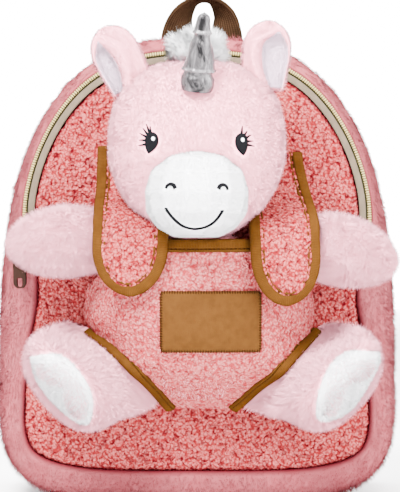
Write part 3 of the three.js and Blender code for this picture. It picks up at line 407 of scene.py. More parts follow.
class NodeTree(Nodes):
    """A tree of geometry nodes."""

    def __init__(self, name: str) -> None:
        """Make an empty tree with a geometry input and output."""
        super().__init__(bpy.data.node_groups.new(name, "GeometryNodeTree"))
        self.tree.interface.new_socket("Geometry", in_out="INPUT", socket_type="NodeSocketGeometry")
        self.tree.interface.new_socket("Geometry", in_out="OUTPUT", socket_type="NodeSocketGeometry")
        self.start = self.tree.nodes.new("NodeGroupInput")
        self.end = self.tree.nodes.new("NodeGroupOutput")
        self.socket_ids: dict[str, str] = {}

    def input(self, name: str, kind: str, default: object = None) -> Socket:
        """Add a named input and return its socket inside the tree."""
        socket = self.tree.interface.new_socket(name, in_out="INPUT", socket_type=kind)
        if default is not None:
            socket.default_value = default
        self.socket_ids[name] = socket.identifier
        return self.start.outputs[name]

    def store(self, geometry: object, name: str, value: object, kind: str, domain: str) -> object:
        """Store an attribute on a geometry and return the geometry."""
        node = self.add(
            "GeometryNodeStoreNamedAttribute",
            {"Geometry": geometry, "Name": name, "Value": value},
            data_type=kind,
            domain=domain,
        )
        return node.outputs[0]

    def attribute(self, name: str, kind: str = "FLOAT") -> Socket:
        """Read an attribute by its name."""
        node = self.add("GeometryNodeInputNamedAttribute", {"Name": name}, data_type=kind)
        return next(output for output in node.outputs if output.enabled)

    def random(self, low: float, high: float, seed: object) -> Socket:
        """A random number for each element."""
        node = self.add("FunctionNodeRandomValue", {"Min": low, "Max": high, "Seed": seed}, data_type="FLOAT")
        return next(output for output in node.outputs if output.enabled)

    def finish(self, geometry: object, material: object) -> None:
        """Realize the instances, set the material and close the tree."""
        real = self.add("GeometryNodeRealizeInstances", {"Geometry": geometry})
        done = self.add("GeometryNodeSetMaterial", {"Geometry": real.outputs[0], "Material": material})
        self.tree.links.new(done.outputs[0], self.end.inputs[0])

    def apply(self, piece: Piece, values: dict[str, object]) -> None:
        """Run the tree on a piece and keep the result as its plain mesh."""
        modifier = piece.modifiers.new(self.tree.name, "NODES")
        modifier.node_group = self.tree
        for name, value in values.items():
            modifier[self.socket_ids[name]] = value
        freeze(piece)


def make_pile_tree() -> NodeTree:
    """A tree that stands thin hairs on a surface, each one triangle.

    Returns:
        The tree. Density follows the surface's own attribute pile, which is 0 where no hair grows.
    """
    tree = NodeTree("Standing pile")
    density = tree.input("Density", "NodeSocketFloat", 1e6)
    length = tree.input("Length", "NodeSocketFloat", 0.003)
    width = tree.input("Width", "NodeSocketFloat", 0.0002)
    comb = tree.input("Comb", "NodeSocketVector")
    disorder = tree.input("Disorder", "NodeSocketFloat", 0.4)
    clump = tree.input("Clump Size", "NodeSocketFloat", 0.006)
    clumping = tree.input("Clumping", "NodeSocketFloat", 0.6)
    seed = tree.input("Seed", "NodeSocketInt", 1)
    material = tree.input("Material", "NodeSocketMaterial")

    normal = tree.add("GeometryNodeInputNormal").outputs[0]
    skin = tree.store(tree.start.outputs["Geometry"], "pile_normal", normal, "FLOAT_VECTOR", "POINT")
    pile = tree.attribute("pile")
    scatter = tree.add(
        "GeometryNodeDistributePointsOnFaces",
        {"Mesh": skin, "Density": tree.math("MULTIPLY", density, pile), "Seed": seed},
        distribute_method="RANDOM",
    )
    place = tree.add("GeometryNodeInputPosition").outputs[0]
    noise = tree.add(
        "ShaderNodeTexNoise",
        {"Vector": place, "Scale": tree.math("DIVIDE", 1.0, clump), "Detail": 1.0},
    )
    swirl = tree.vector("SUBTRACT", noise.outputs["Color"], (0.5, 0.5, 0.5))
    swirl = tree.vector("SCALE", swirl, tree.math("MULTIPLY", clumping, 4.0))
    loose = tree.add(
        "FunctionNodeRandomValue",
        {"Min": (-1.0, -1.0, -1.0), "Max": (1.0, 1.0, 1.0), "Seed": seed},
        data_type="FLOAT_VECTOR",
    )
    loose = tree.vector("SCALE", loose.outputs[0], disorder)
    stand = tree.vector("ADD", tree.attribute("pile_normal", "FLOAT_VECTOR"), comb)
    way = tree.vector("ADD", tree.vector("ADD", stand, swirl), loose)
    upright = tree.add("FunctionNodeAlignRotationToVector", {"Vector": way}, axis="Z")
    spin = tree.add("FunctionNodeAxisAngleToRotation", {"Angle": tree.random(0.0, math.tau, seed)})
    turned = tree.add(
        "FunctionNodeRotateRotation",
        {"Rotation": upright.outputs[0], "Rotate By": spin.outputs[0]},
        rotation_space="LOCAL",
    )

    ring = tree.add("GeometryNodeMeshCircle", {"Vertices": 3, "Radius": 1.0}, fill_type="NGON")
    blade = tree.add(
        "GeometryNodeTransform",
        {
            "Geometry": ring.outputs[0],
            "Translation": (0.0, 0.0, 1 / 3),
            "Rotation": (0.0, -math.pi / 2, 0.0),
            "Scale": (2 / 3, 1 / math.sqrt(3), 1.0),
        },
    )
    height = tree.add("ShaderNodeSeparateXYZ", {"Vector": place}).outputs["Z"]
    hair = tree.store(blade.outputs[0], "tip", height, "FLOAT", "POINT")
    tall = tree.math("MULTIPLY", length, tree.random(0.35, 1.0, seed))
    tall = tree.math("MULTIPLY", tall, pile)
    size = tree.add("ShaderNodeCombineXYZ", {"X": width, "Y": width, "Z": tall}).outputs[0]
    hairs = tree.add(
        "GeometryNodeInstanceOnPoints",
        {"Points": scatter.outputs["Points"], "Instance": hair, "Rotation": turned.outputs[0], "Scale": size},
    )
    shaded = tree.store(hairs.outputs[0], "shade", tree.random(0.0, 1.0, seed), "FLOAT", "INSTANCE")
    ground = tree.store(tree.store(skin, "tip", 0.35, "FLOAT", "POINT"), "shade", 0.5, "FLOAT", "POINT")
    both = tree.add("GeometryNodeJoinGeometry")
    tree.tree.links.new(ground, both.inputs[0])
    tree.tree.links.new(shaded, both.inputs[0])
    tree.finish(both.outputs[0], material)
    return tree


def make_curl_tree() -> NodeTree:
    """A tree that raises small round curls on a fine mesh.

    Returns:
        The tree. It stores the attribute rest, the place of each point before it is raised.
    """
    tree = NodeTree("Curly pile")
    curl = tree.input("Curl Size", "NodeSocketFloat", 0.0024)
    depth = tree.input("Depth", "NodeSocketFloat", 0.001)
    material = tree.input("Material", "NodeSocketMaterial")
    place = tree.add("GeometryNodeInputPosition").outputs[0]
    scale = tree.math("DIVIDE", 1.0, curl)
    drift = tree.add("ShaderNodeTexNoise", {"Vector": place, "Scale": tree.math("MULTIPLY", scale, 0.7)})
    warp = tree.vector("SUBTRACT", drift.outputs["Color"], (0.5, 0.5, 0.5))
    warped = tree.vector("ADD", place, tree.vector("SCALE", warp, tree.math("MULTIPLY", curl, 1.6)))
    cells = tree.add("ShaderNodeTexVoronoi", {"Vector": warped, "Scale": scale})
    away = tree.math("MULTIPLY", cells.outputs["Distance"], 1.25)
    dip = tree.math("MINIMUM", tree.math("POWER", away, 1.7), 1.0)
    lump = tree.add("ShaderNodeTexNoise", {"Vector": place, "Scale": tree.math("MULTIPLY", scale, 0.3)})
    swell = tree.math("SUBTRACT", lump.outputs[0], 0.5)
    height = tree.math("SUBTRACT", tree.math("MULTIPLY_ADD", swell, 1.2, 0.6), dip)
    lift = tree.math("MULTIPLY", tree.math("MULTIPLY", height, depth), tree.attribute("pile"))
    offset = tree.vector("SCALE", tree.add("GeometryNodeInputNormal").outputs[0], lift)
    marked = tree.store(tree.start.outputs["Geometry"], "rest", place, "FLOAT_VECTOR", "POINT")
    moved = tree.add("GeometryNodeSetPosition", {"Geometry": marked, "Offset": offset})
    tree.finish(moved.outputs[0], material)
    return tree


def make_row_tree() -> NodeTree:
    """A tree that lays small round bodies along a path, such as stitches or the turns of a coil.

    Returns:
        The tree. The path's points carry the attributes lay, the way a body is long, and out.
    """
    tree = NodeTree("Row along a path")
    spacing = tree.input("Spacing", "NodeSocketFloat", 0.002)
    size = tree.input("Size", "NodeSocketVector")
    material = tree.input("Material", "NodeSocketMaterial")
    line = tree.add("GeometryNodeMeshToCurve", {"Mesh": tree.start.outputs["Geometry"]})
    even = tree.add(
        "GeometryNodeResampleCurve", {"Curve": line.outputs[0], "Length": spacing}, mode="LENGTH"
    )
    up = tree.add(
        "FunctionNodeAlignRotationToVector", {"Vector": tree.attribute("out", "FLOAT_VECTOR")}, axis="Z"
    )
    turned = tree.add(
        "FunctionNodeAlignRotationToVector",
        {"Rotation": up.outputs[0], "Vector": tree.attribute("lay", "FLOAT_VECTOR")},
        axis="X",
        pivot_axis="Z",
    )
    ball = tree.add("GeometryNodeMeshUVSphere", {"Segments": 8, "Rings": 5, "Radius": 0.5})
    smooth = tree.add("GeometryNodeSetShadeSmooth", {"Geometry": ball.outputs[0]})
    body, way = smooth.outputs[0], turned.outputs[0]
    inputs = {"Points": even.outputs[0], "Instance": body, "Rotation": way, "Scale": size}
    row = tree.add("GeometryNodeInstanceOnPoints", inputs)
    tree.finish(row.outputs[0], material)
    return tree


# Shader groups and finishes


def srgb(red: int, green: int, blue: int) -> tuple[float, float, float, float]:
    """A colour given as screen values from 0 to 255, as the linear colour of a socket."""
    linear = []
    for value in (red, green, blue):
        share = value / 255
        linear.append(share / 12.92 if share <= 0.04045 else ((share + 0.055) / 1.055) ** 2.4)
    return (*linear, 1.0)


class ShaderTree(Nodes):
    """The nodes of a material or of a shader group."""

    def mix(self, share: object, first: object, second: object) -> Socket:
        """A colour between two others."""
        return self.add("ShaderNodeMix", {0: share, 6: first, 7: second}, data_type="RGBA").outputs[2]

    def object_place(self) -> Socket:
        """The Object coordinates."""
        return self.add("ShaderNodeTexCoord").outputs["Object"]

    def attribute(self, name: str, vector: bool = False) -> Socket:
        """A stored attribute, as a number or as a vector."""
        node = self.add("ShaderNodeAttribute", attribute_name=name)
        return node.outputs["Vector"] if vector else node.outputs["Fac"]


class Pattern(Enum):
    """The shader groups that several finishes share."""

    MOTTLE = "Mottle"
    FIBRES = "Fibres"
    RIBS = "Ribs"
    CURLS = "Curls"


def new_group(name: str, inputs: tuple, outputs: tuple) -> tuple[ShaderTree, bpy.types.Node, bpy.types.Node]:
    """An empty shader group."""
    tree = bpy.data.node_groups.new(name, "ShaderNodeTree")
    for way, sockets in (("INPUT", inputs), ("OUTPUT", outputs)):
        for label, kind in sockets:
            tree.interface.new_socket(label, in_out=way, socket_type=f"NodeSocket{kind}")
    return ShaderTree(tree), tree.nodes.new("NodeGroupInput"), tree.nodes.new("NodeGroupOutput")


def make_patterns() -> dict[Pattern, bpy.types.NodeTree]:
    """Build each shared shader group once."""
    made = {}

    kit, given, out = new_group(
        Pattern.MOTTLE.value,
        (("Color", "Color"), ("Dark", "Color"), ("Size", "Float"), ("Amount", "Float")),
        (("Color", "Color"),),
    )
    scale = kit.math("DIVIDE", 1.0, given.outputs["Size"])
    cloud = kit.add("ShaderNodeTexNoise", {"Vector": kit.object_place(), "Scale": scale, "Detail": 3.0})
    ramp = kit.math("MULTIPLY_ADD", cloud.outputs[0], 2.6, -0.8, clamp=True)
    share = kit.math("MULTIPLY", ramp, given.outputs["Amount"])
    kit.tree.links.new(kit.mix(share, given.outputs["Color"], given.outputs["Dark"]), out.inputs[0])
    made[Pattern.MOTTLE] = kit.tree

    kit, given, out = new_group(
        Pattern.FIBRES.value, (("Size", "Float"), ("Stretch", "Vector")), (("Height", "Float"),)
    )
    place = kit.vector("MULTIPLY", kit.object_place(), given.outputs["Stretch"])
    scale = kit.math("DIVIDE", 1.0, given.outputs["Size"])
    strands = kit.add(
        "ShaderNodeTexNoise",
        {"Vector": place, "Scale": scale, "Detail": 3.0, "Roughness": 0.65, "Distortion": 1.2},
    )
    kit.tree.links.new(strands.outputs[0], out.inputs[0])
    made[Pattern.FIBRES] = kit.tree

    kit, given, out = new_group(
        Pattern.RIBS.value,
        (("Vector", "Vector"), ("Rib", "Float"), ("Thread", "Float")),
        (("Height", "Float"), ("Groove Shade", "Float")),
    )
    parts = kit.add("ShaderNodeSeparateXYZ", {"Vector": given.outputs["Vector"]})
    heights = []
    for axis, size in (("X", "Rib"), ("Y", "Thread")):
        phase = kit.math("MULTIPLY", kit.math("DIVIDE", parts.outputs[axis], given.outputs[size]), math.tau)
        heights.append(kit.math("MULTIPLY_ADD", kit.math("SINE", phase), 0.5, 0.5))
    both = kit.math("MULTIPLY_ADD", heights[1], 0.35, heights[0])
    kit.tree.links.new(both, out.inputs["Height"])
    # The mask for painted shade in the grooves between the ribs.
    kit.tree.links.new(kit.math("SUBTRACT", 1.0, heights[0]), out.inputs["Groove Shade"])
    made[Pattern.RIBS] = kit.tree

    kit, given, out = new_group(
        Pattern.CURLS.value,
        (("Vector", "Vector"), ("Size", "Float")),
        (("Height", "Float"), ("Crease Shade", "Float")),
    )
    scale = kit.math("DIVIDE", 1.0, given.outputs["Size"])
    drift = kit.add(
        "ShaderNodeTexNoise", {"Vector": given.outputs["Vector"], "Scale": kit.math("MULTIPLY", scale, 0.7)}
    )
    warp = kit.vector("SUBTRACT", drift.outputs["Color"], (0.5, 0.5, 0.5))
    reach = kit.vector("SCALE", warp, kit.math("MULTIPLY", given.outputs["Size"], 1.6))
    bent = kit.vector("ADD", given.outputs["Vector"], reach)
    cells = kit.add("ShaderNodeTexVoronoi", {"Vector": bent, "Scale": scale})
    away = kit.math("POWER", kit.math("MULTIPLY", cells.outputs["Distance"], 1.2), 1.8)
    kit.tree.links.new(kit.math("SUBTRACT", 1.0, away, clamp=True), out.inputs["Height"])
    # The mask for painted shade in the hollows between the curls.
    kit.tree.links.new(kit.math("MULTIPLY_ADD", away, 2.4, -1.15, clamp=True), out.inputs["Crease Shade"])
    made[Pattern.CURLS] = kit.tree
    return made


class Finishing:
    """The start of a material: its shader, its groups and its bump."""

    def __init__(self, name: str, patterns: dict[Pattern, bpy.types.NodeTree]) -> None:
        """Make the material with a plain shader."""
        self.material = bpy.data.materials.new(name)
        self.material.use_nodes = True
        self.kit = ShaderTree(self.material.node_tree)
        self.shader = self.material.node_tree.nodes["Principled BSDF"]
        self.patterns = patterns

    def pattern(self, which: Pattern, **values: object) -> bpy.types.Node:
        """Place a shared group with its values."""
        node = self.kit.add("ShaderNodeGroup", node_tree=self.patterns[which])
        for label, value in values.items():
            self.kit.give(node.inputs[label.capitalize()], value)
        return node

    def set(self, **values: object) -> None:
        """Set or link the shader's sockets, named with _ for a space."""
        for label, value in values.items():
            self.kit.give(self.shader.inputs[label.replace("_", " ")], value)

    def bump(self, height: Socket, distance: float) -> None:
        """Give the shader a bump of a height in metres."""
        inputs = {"Height": height, "Distance": distance, "Strength": 1.0}
        self.set(Normal=self.kit.add("ShaderNodeBump", inputs).outputs[0])


@dataclass(frozen=True)
class PileFinish:
    """Fur or plush, from the root of a hair to its tip, with painted shade along the attribute seam."""

    name: str
    root: Colour
    tip: Colour
    spread: float = 0.18
    smoothing: float = 0.9

    def make(self, patterns: dict[Pattern, bpy.types.NodeTree]) -> bpy.types.Material:
        """Build the material."""
        work = Finishing(self.name, patterns)
        kit = work.kit
        colour = kit.mix(kit.math("POWER", kit.attribute("tip"), 0.6), self.root, self.tip)
        dim = kit.math("MULTIPLY", kit.attribute("shade"), self.spread)
        colour = kit.mix(dim, colour, self.root)
        clouded = work.pattern(Pattern.MOTTLE, color=colour, dark=self.root, size=0.011, amount=self.spread)
        # Painted shade: where the attribute seam is high, in the crease beside the bag's front seam, the
        # colour darkens towards a near-black root colour.
        seam_shade_colour = kit.mix(0.6, self.root, (0.0, 0.0, 0.0, 1.0))
        seam_shaded = kit.mix(kit.attribute("seam"), clouded.outputs[0], seam_shade_colour)
        facing = kit.add("ShaderNodeNewGeometry").outputs["Normal"]
        level = kit.attribute("pile_normal", vector=True)
        even = kit.add("ShaderNodeMix", {0: self.smoothing, 4: facing, 5: level}, data_type="VECTOR")
        straight = kit.vector("NORMALIZE", even.outputs[1])
        work.set(Base_Color=seam_shaded, Normal=straight, Roughness=0.9, Specular_IOR_Level=0.0)
        return work.material


@dataclass(frozen=True)
class CurlFinish:
    """Curly fleece: pale curls with painted highlights on their tops and painted shade in the hollows between
    them.
    """

    name: str
    # The curl's own colour, then a painted highlight for the curl tops and painted shade for the hollows
    # between curls.
    curl: Colour
    painted_highlight: Colour
    shaded_crease: Colour
    size: float = 0.0016
    # How strongly the painted shade darkens the hollows between the curls.
    depth: float = 0.6

    def make(self, patterns: dict[Pattern, bpy.types.NodeTree]) -> bpy.types.Material:
        """Build the material."""
        work = Finishing(self.name, patterns)
        kit = work.kit
        rest = kit.attribute("rest", vector=True)
        coarse = work.pattern(Pattern.CURLS, vector=rest, size=self.size * 1.7)
        fine = work.pattern(Pattern.CURLS, vector=rest, size=self.size)
        clouded = work.pattern(Pattern.MOTTLE, color=self.curl, dark=self.shaded_crease, size=0.012, amount=0.1)
        # Painted highlight: the tops of the curls lighten towards the highlight colour.
        lit = kit.mix(kit.math("POWER", fine.outputs["Height"], 2.0), clouded.outputs[0], self.painted_highlight)
        # Painted shade: the hollows between the curls darken towards the shade colour.
        crease_shade_mask = kit.math("MULTIPLY_ADD", fine.outputs["Crease Shade"], 0.55, coarse.outputs["Crease Shade"])
        share = kit.math("MULTIPLY", crease_shade_mask, self.depth, clamp=True)
        coloured = kit.mix(share, lit, self.shaded_crease)
        # Painted shade: the colour darkens further where the attribute seam is high, along the rim beside the
        # front seam.
        work.set(Base_Color=kit.mix(kit.attribute("seam"), coloured, self.shaded_crease), Roughness=0.95)
        work.set(Specular_IOR_Level=0.0)
        height = kit.math("MULTIPLY_ADD", coarse.outputs["Height"], 0.6, fine.outputs["Height"])
        work.bump(height, 0.0008)
        return work.material


@dataclass(frozen=True)
class RibFinish:
    """A woven band, ribbed along or across, with painted shade in the grooves between its ribs."""

    name: str
    colour: Colour
    dark: Colour
    rib: float
    thread: float
    relief: float = 0.00018
    roughness: float = 0.8
    # How strongly the painted shade darkens the grooves.
    groove: float = 0.5
    lengthways: bool = False

    def make(self, patterns: dict[Pattern, bpy.types.NodeTree]) -> bpy.types.Material:
        """Build the material."""
        work = Finishing(self.name, patterns)
        kit = work.kit
        along = kit.add("ShaderNodeUVMap", uv_map="Along").outputs[0]
        if self.lengthways:
            split = kit.add("ShaderNodeSeparateXYZ", {"Vector": along})
            turned = {"X": split.outputs["Y"], "Y": split.outputs["X"]}
            along = kit.add("ShaderNodeCombineXYZ", turned).outputs[0]
        ribs = work.pattern(Pattern.RIBS, vector=along, rib=self.rib, thread=self.thread)
        clouded = work.pattern(Pattern.MOTTLE, color=self.colour, dark=self.dark, size=0.006, amount=0.5)
        # Painted shade: the grooves between the ribs darken towards the dark colour.
        share = kit.math("MULTIPLY", ribs.outputs["Groove Shade"], self.groove)
        work.set(Base_Color=kit.mix(share, clouded.outputs[0], self.dark), Roughness=self.roughness)
        work.set(Specular_IOR_Level=0.0)
        work.bump(ribs.outputs["Height"], self.relief)
        return work.material


@dataclass(frozen=True)
class GrainFinish:
    """Leather, plastic, painted metal or thread, with a fine grain and worn spots."""

    name: str
    colour: Colour
    dark: Colour
    roughness: float = 0.6
    metallic: float = 0.0
    grain: float = 0.0009
    relief: float = 0.00008
    wear: float = 0.4
    wear_size: float = 0.009
    stretch: tuple[float, float, float] = (1.0, 1.0, 1.0)
    specular: float = 0.0

    def make(self, patterns: dict[Pattern, bpy.types.NodeTree]) -> bpy.types.Material:
        """Build the material."""
        work = Finishing(self.name, patterns)
        kit = work.kit
        clouded = work.pattern(
            Pattern.MOTTLE, color=self.colour, dark=self.dark, size=self.wear_size, amount=self.wear
        )
        grain = work.pattern(Pattern.FIBRES, size=self.grain, stretch=self.stretch)
        rough = kit.math("MULTIPLY_ADD", grain.outputs[0], 0.2, self.roughness - 0.1, clamp=True)
        work.set(Base_Color=clouded.outputs[0], Roughness=rough, Metallic=self.metallic)
        work.set(Specular_IOR_Level=self.specular)
        work.bump(grain.outputs[0], self.relief)
        return work.material


@dataclass(frozen=True)
class FoilFinish:
    """Silver cloth with fine threads, painted streaks of reflected light and dark, and from the attribute
    band a painted dark reflection on its front and painted highlights at its gathers.
    """

    name: str
    # colour is the lit silver; dark is a painted dark reflection, also used in the speckle.
    colour: Colour
    dark: Colour
    metallic: float = 0.85
    roughness: float = 0.3

    def make(self, patterns: dict[Pattern, bpy.types.NodeTree]) -> bpy.types.Material:
        """Build the material."""
        work = Finishing(self.name, patterns)
        kit = work.kit
        streaks = work.pattern(Pattern.FIBRES, size=0.0052, stretch=(1.0, 1.0, 0.4))
        threads = work.pattern(Pattern.FIBRES, size=0.0009, stretch=(1.0, 1.0, 0.5))
        # Painted reflection: streaks of light and dark along the horn; the attribute band then darkens the
        # front and lightens the gathers.
        light = kit.math("MULTIPLY_ADD", streaks.outputs[0], 2.6, -0.6)
        light = kit.math("SUBTRACT", light, kit.attribute("band"), clamp=True)
        colour = kit.mix(light, self.dark, self.colour)
        speckled = work.pattern(Pattern.MOTTLE, color=colour, dark=self.dark, size=0.0016, amount=0.25)
        rough = kit.math("MULTIPLY_ADD", threads.outputs[0], 0.3, self.roughness - 0.1, clamp=True)
        height = kit.math("MULTIPLY_ADD", threads.outputs[0], 0.3, streaks.outputs[0])
        work.set(Base_Color=speckled.outputs[0], Roughness=rough, Metallic=self.metallic)
        work.bump(height, 0.0006)
        return work.material


@dataclass(frozen=True)
class GlowFinish:
    """A plain backdrop that shines evenly."""

    name: str
    strength: float

    def make(self, patterns: dict[Pattern, bpy.types.NodeTree]) -> bpy.types.Material:
        """Build the material."""
        work = Finishing(self.name, patterns)
        work.set(Base_Color=(1.0, 1.0, 1.0, 1.0), Emission_Color=(1.0, 1.0, 1.0, 1.0), Roughness=1.0)
        work.set(Emission_Strength=self.strength)
        return work.material


@dataclass(frozen=True)
class Finishes:
    """All the finishes of the bag and its toy."""

    # Fleece colours: the curl's own colour, a painted highlight on the curl tops, painted shade between the
    # curls.
    fleece: CurlFinish = CurlFinish("fleece", srgb(116, 30, 32), srgb(150, 77, 75), srgb(54, 2, 8))
    bib: CurlFinish = CurlFinish(
        "bib_fleece", srgb(138, 50, 53), srgb(154, 91, 89), srgb(90, 10, 18), depth=0.5
    )
    fur: PileFinish = PileFinish("fur", srgb(92, 18, 28), srgb(150, 88, 92), 0.3)
    plush: PileFinish = PileFinish("plush", srgb(255, 146, 163), srgb(255, 177, 191), 0.06)
    white: PileFinish = PileFinish("white_plush", srgb(250, 248, 254), srgb(255, 255, 255), 0.03)
    lining: PileFinish = PileFinish("ear_lining", srgb(172, 138, 158), srgb(220, 198, 214), 0.1)
    # The ribbed finishes paint shade into the grooves between their ribs.
    binding: RibFinish = RibFinish("binding", srgb(62, 37, 12), srgb(42, 23, 6), 0.0009, 0.0006, 0.0001)
    webbing: RibFinish = RibFinish(
        "webbing", srgb(50, 35, 23), srgb(24, 16, 10), 0.0017, 0.0012, 0.0004, groove=0.55, lengthways=True
    )
    tape: RibFinish = RibFinish("tape", srgb(90, 79, 66), srgb(66, 57, 46), 0.0007, 0.0007, 0.0001)
    leather: GrainFinish = GrainFinish(
        "leather", srgb(60, 37, 15), srgb(40, 22, 8), 0.62, grain=0.0011, relief=0.00012, wear_size=0.004
    )
    thread: GrainFinish = GrainFinish("thread", srgb(34, 17, 6), srgb(22, 11, 4), 0.6, grain=0.0004)
    coil: GrainFinish = GrainFinish("teeth", srgb(150, 134, 88), srgb(120, 104, 58), 0.35, wear=0.3)
    cord: GrainFinish = GrainFinish("coil_cord", srgb(26, 25, 14), srgb(16, 16, 9), 0.8)
    metal: GrainFinish = GrainFinish(
        "hardware", srgb(34, 22, 18), srgb(20, 12, 10), 0.45, 0.4, grain=0.0006, relief=0.00003
    )
    black: GrainFinish = GrainFinish(
        "black_thread", srgb(6, 6, 8), srgb(3, 3, 4), 0.6, grain=0.0005, relief=0.0001,
        stretch=(0.25, 1.0, 1.0), specular=0.03,
    )
    glint: GrainFinish = GrainFinish("white_thread", srgb(250, 250, 252), srgb(226, 228, 236), 0.5)
    # The silver's second colour is its painted dark reflection.
    silver: FoilFinish = FoilFinish("silver_cloth", srgb(104, 100, 102), srgb(14, 13, 14))
    plastic: GrainFinish = GrainFinish("plastic", srgb(52, 41, 34), srgb(36, 27, 22), 0.45, wear=0.25)
    floor: GrainFinish = GrainFinish(
        "floor", srgb(250, 250, 250), srgb(244, 244, 244), 0.8,
        grain=0.02, relief=0.0, wear=0.3, wear_size=0.4,
    )
    backdrop: GlowFinish = GlowFinish("backdrop", 16.0)


@dataclass(frozen=True)
class Hair:
    """How many hairs stand on a piece and how they lie."""

    count: float
    length: float
    width: float
    comb: tuple[float, float, float] = (0.0, 0.0, 0.0)
    disorder: float = 0.45
    clump: float = 0.006
    clumping: float = 0.5
    seed: int = 1


class Workshop:
    def __init__(self, finishes: Finishes) -> None:
        """Build the trees and the shared groups once."""
        self.finishes = finishes
        self.pile_tree = make_pile_tree()
        self.curl_tree = make_curl_tree()
        self.row_tree = make_row_tree()
        self.patterns = make_patterns()
        self.materials: dict[str, bpy.types.Material] = {}

    def material(self, finish: object) -> bpy.types.Material:
        """The material of a finish, built on its first use."""
        if finish.name not in self.materials:
            self.materials[finish.name] = finish.make(self.patterns)
        return self.materials[finish.name]

    def dress(self, piece: Piece, finish: object) -> None:
        """Give a whole piece one material."""
        piece.data.materials.clear()
        piece.data.materials.append(self.material(finish))

    def declare(
        self,
        piece: Piece,
        nodes: tuple[str, ...] = (),
        body: str = BAG,
        finish: object = None,
    ) -> None:
        """Say what a finished piece is."""
        if finish is not None:
            self.dress(piece, finish)
        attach(piece, body)
        if nodes:
            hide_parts(*nodes)
        log.info("%s: %d faces", piece.name, len(piece.data.polygons))

    def pile(self, piece: Piece, hair: Hair, finish: PileFinish) -> None:
        """Stand a pile on a piece and fuse it to it."""
        area = sum(face.area for face in piece.data.polygons)
        values = {
            "Density": hair.count / area,
            "Length": hair.length,
            "Width": hair.width,
            "Comb": hair.comb,
            "Disorder": hair.disorder,
            "Clump Size": hair.clump,
            "Clumping": hair.clumping,
            "Seed": hair.seed,
            "Material": self.material(finish),
        }
        self.pile_tree.apply(piece, values)

    def curls(self, piece: Piece, size: float, depth: float, finish: CurlFinish) -> None:
        """Raise curls on a fine sheet."""
        self.curl_tree.apply(piece, {"Curl Size": size, "Depth": depth, "Material": self.material(finish)})
        piece.data.shade_smooth()

    def row(
        self,
        name: str,
        path: Array,
        lay: Array,
        out: Array,
        spacing: float,
        size: tuple[float, float, float],
        finish: object,
    ) -> Piece:
        """A row of small round bodies along a path."""
        mesh = bpy.data.meshes.new(name)
        edges = [(i, i + 1) for i in range(len(path) - 1)]
        mesh.from_pydata([tuple(p) for p in path], edges, [])
        piece = link(mesh)
        for label, values in (("lay", lay), ("out", out)):
            layer = mesh.attributes.new(label, "FLOAT_VECTOR", "POINT")
            layer.data.foreach_set("vector", np.ascontiguousarray(values, np.float32).ravel())
        self.row_tree.apply(piece, {"Spacing": spacing, "Size": size, "Material": self.material(finish)})
        return piece


# The bag's form, as packed. Lengths here are in millimetres and points leave in metres


def power(value: Array, exponent: Array | float) -> Array:
    """A power that keeps the sign of its base."""
    return np.sign(value) * np.abs(value) ** exponent


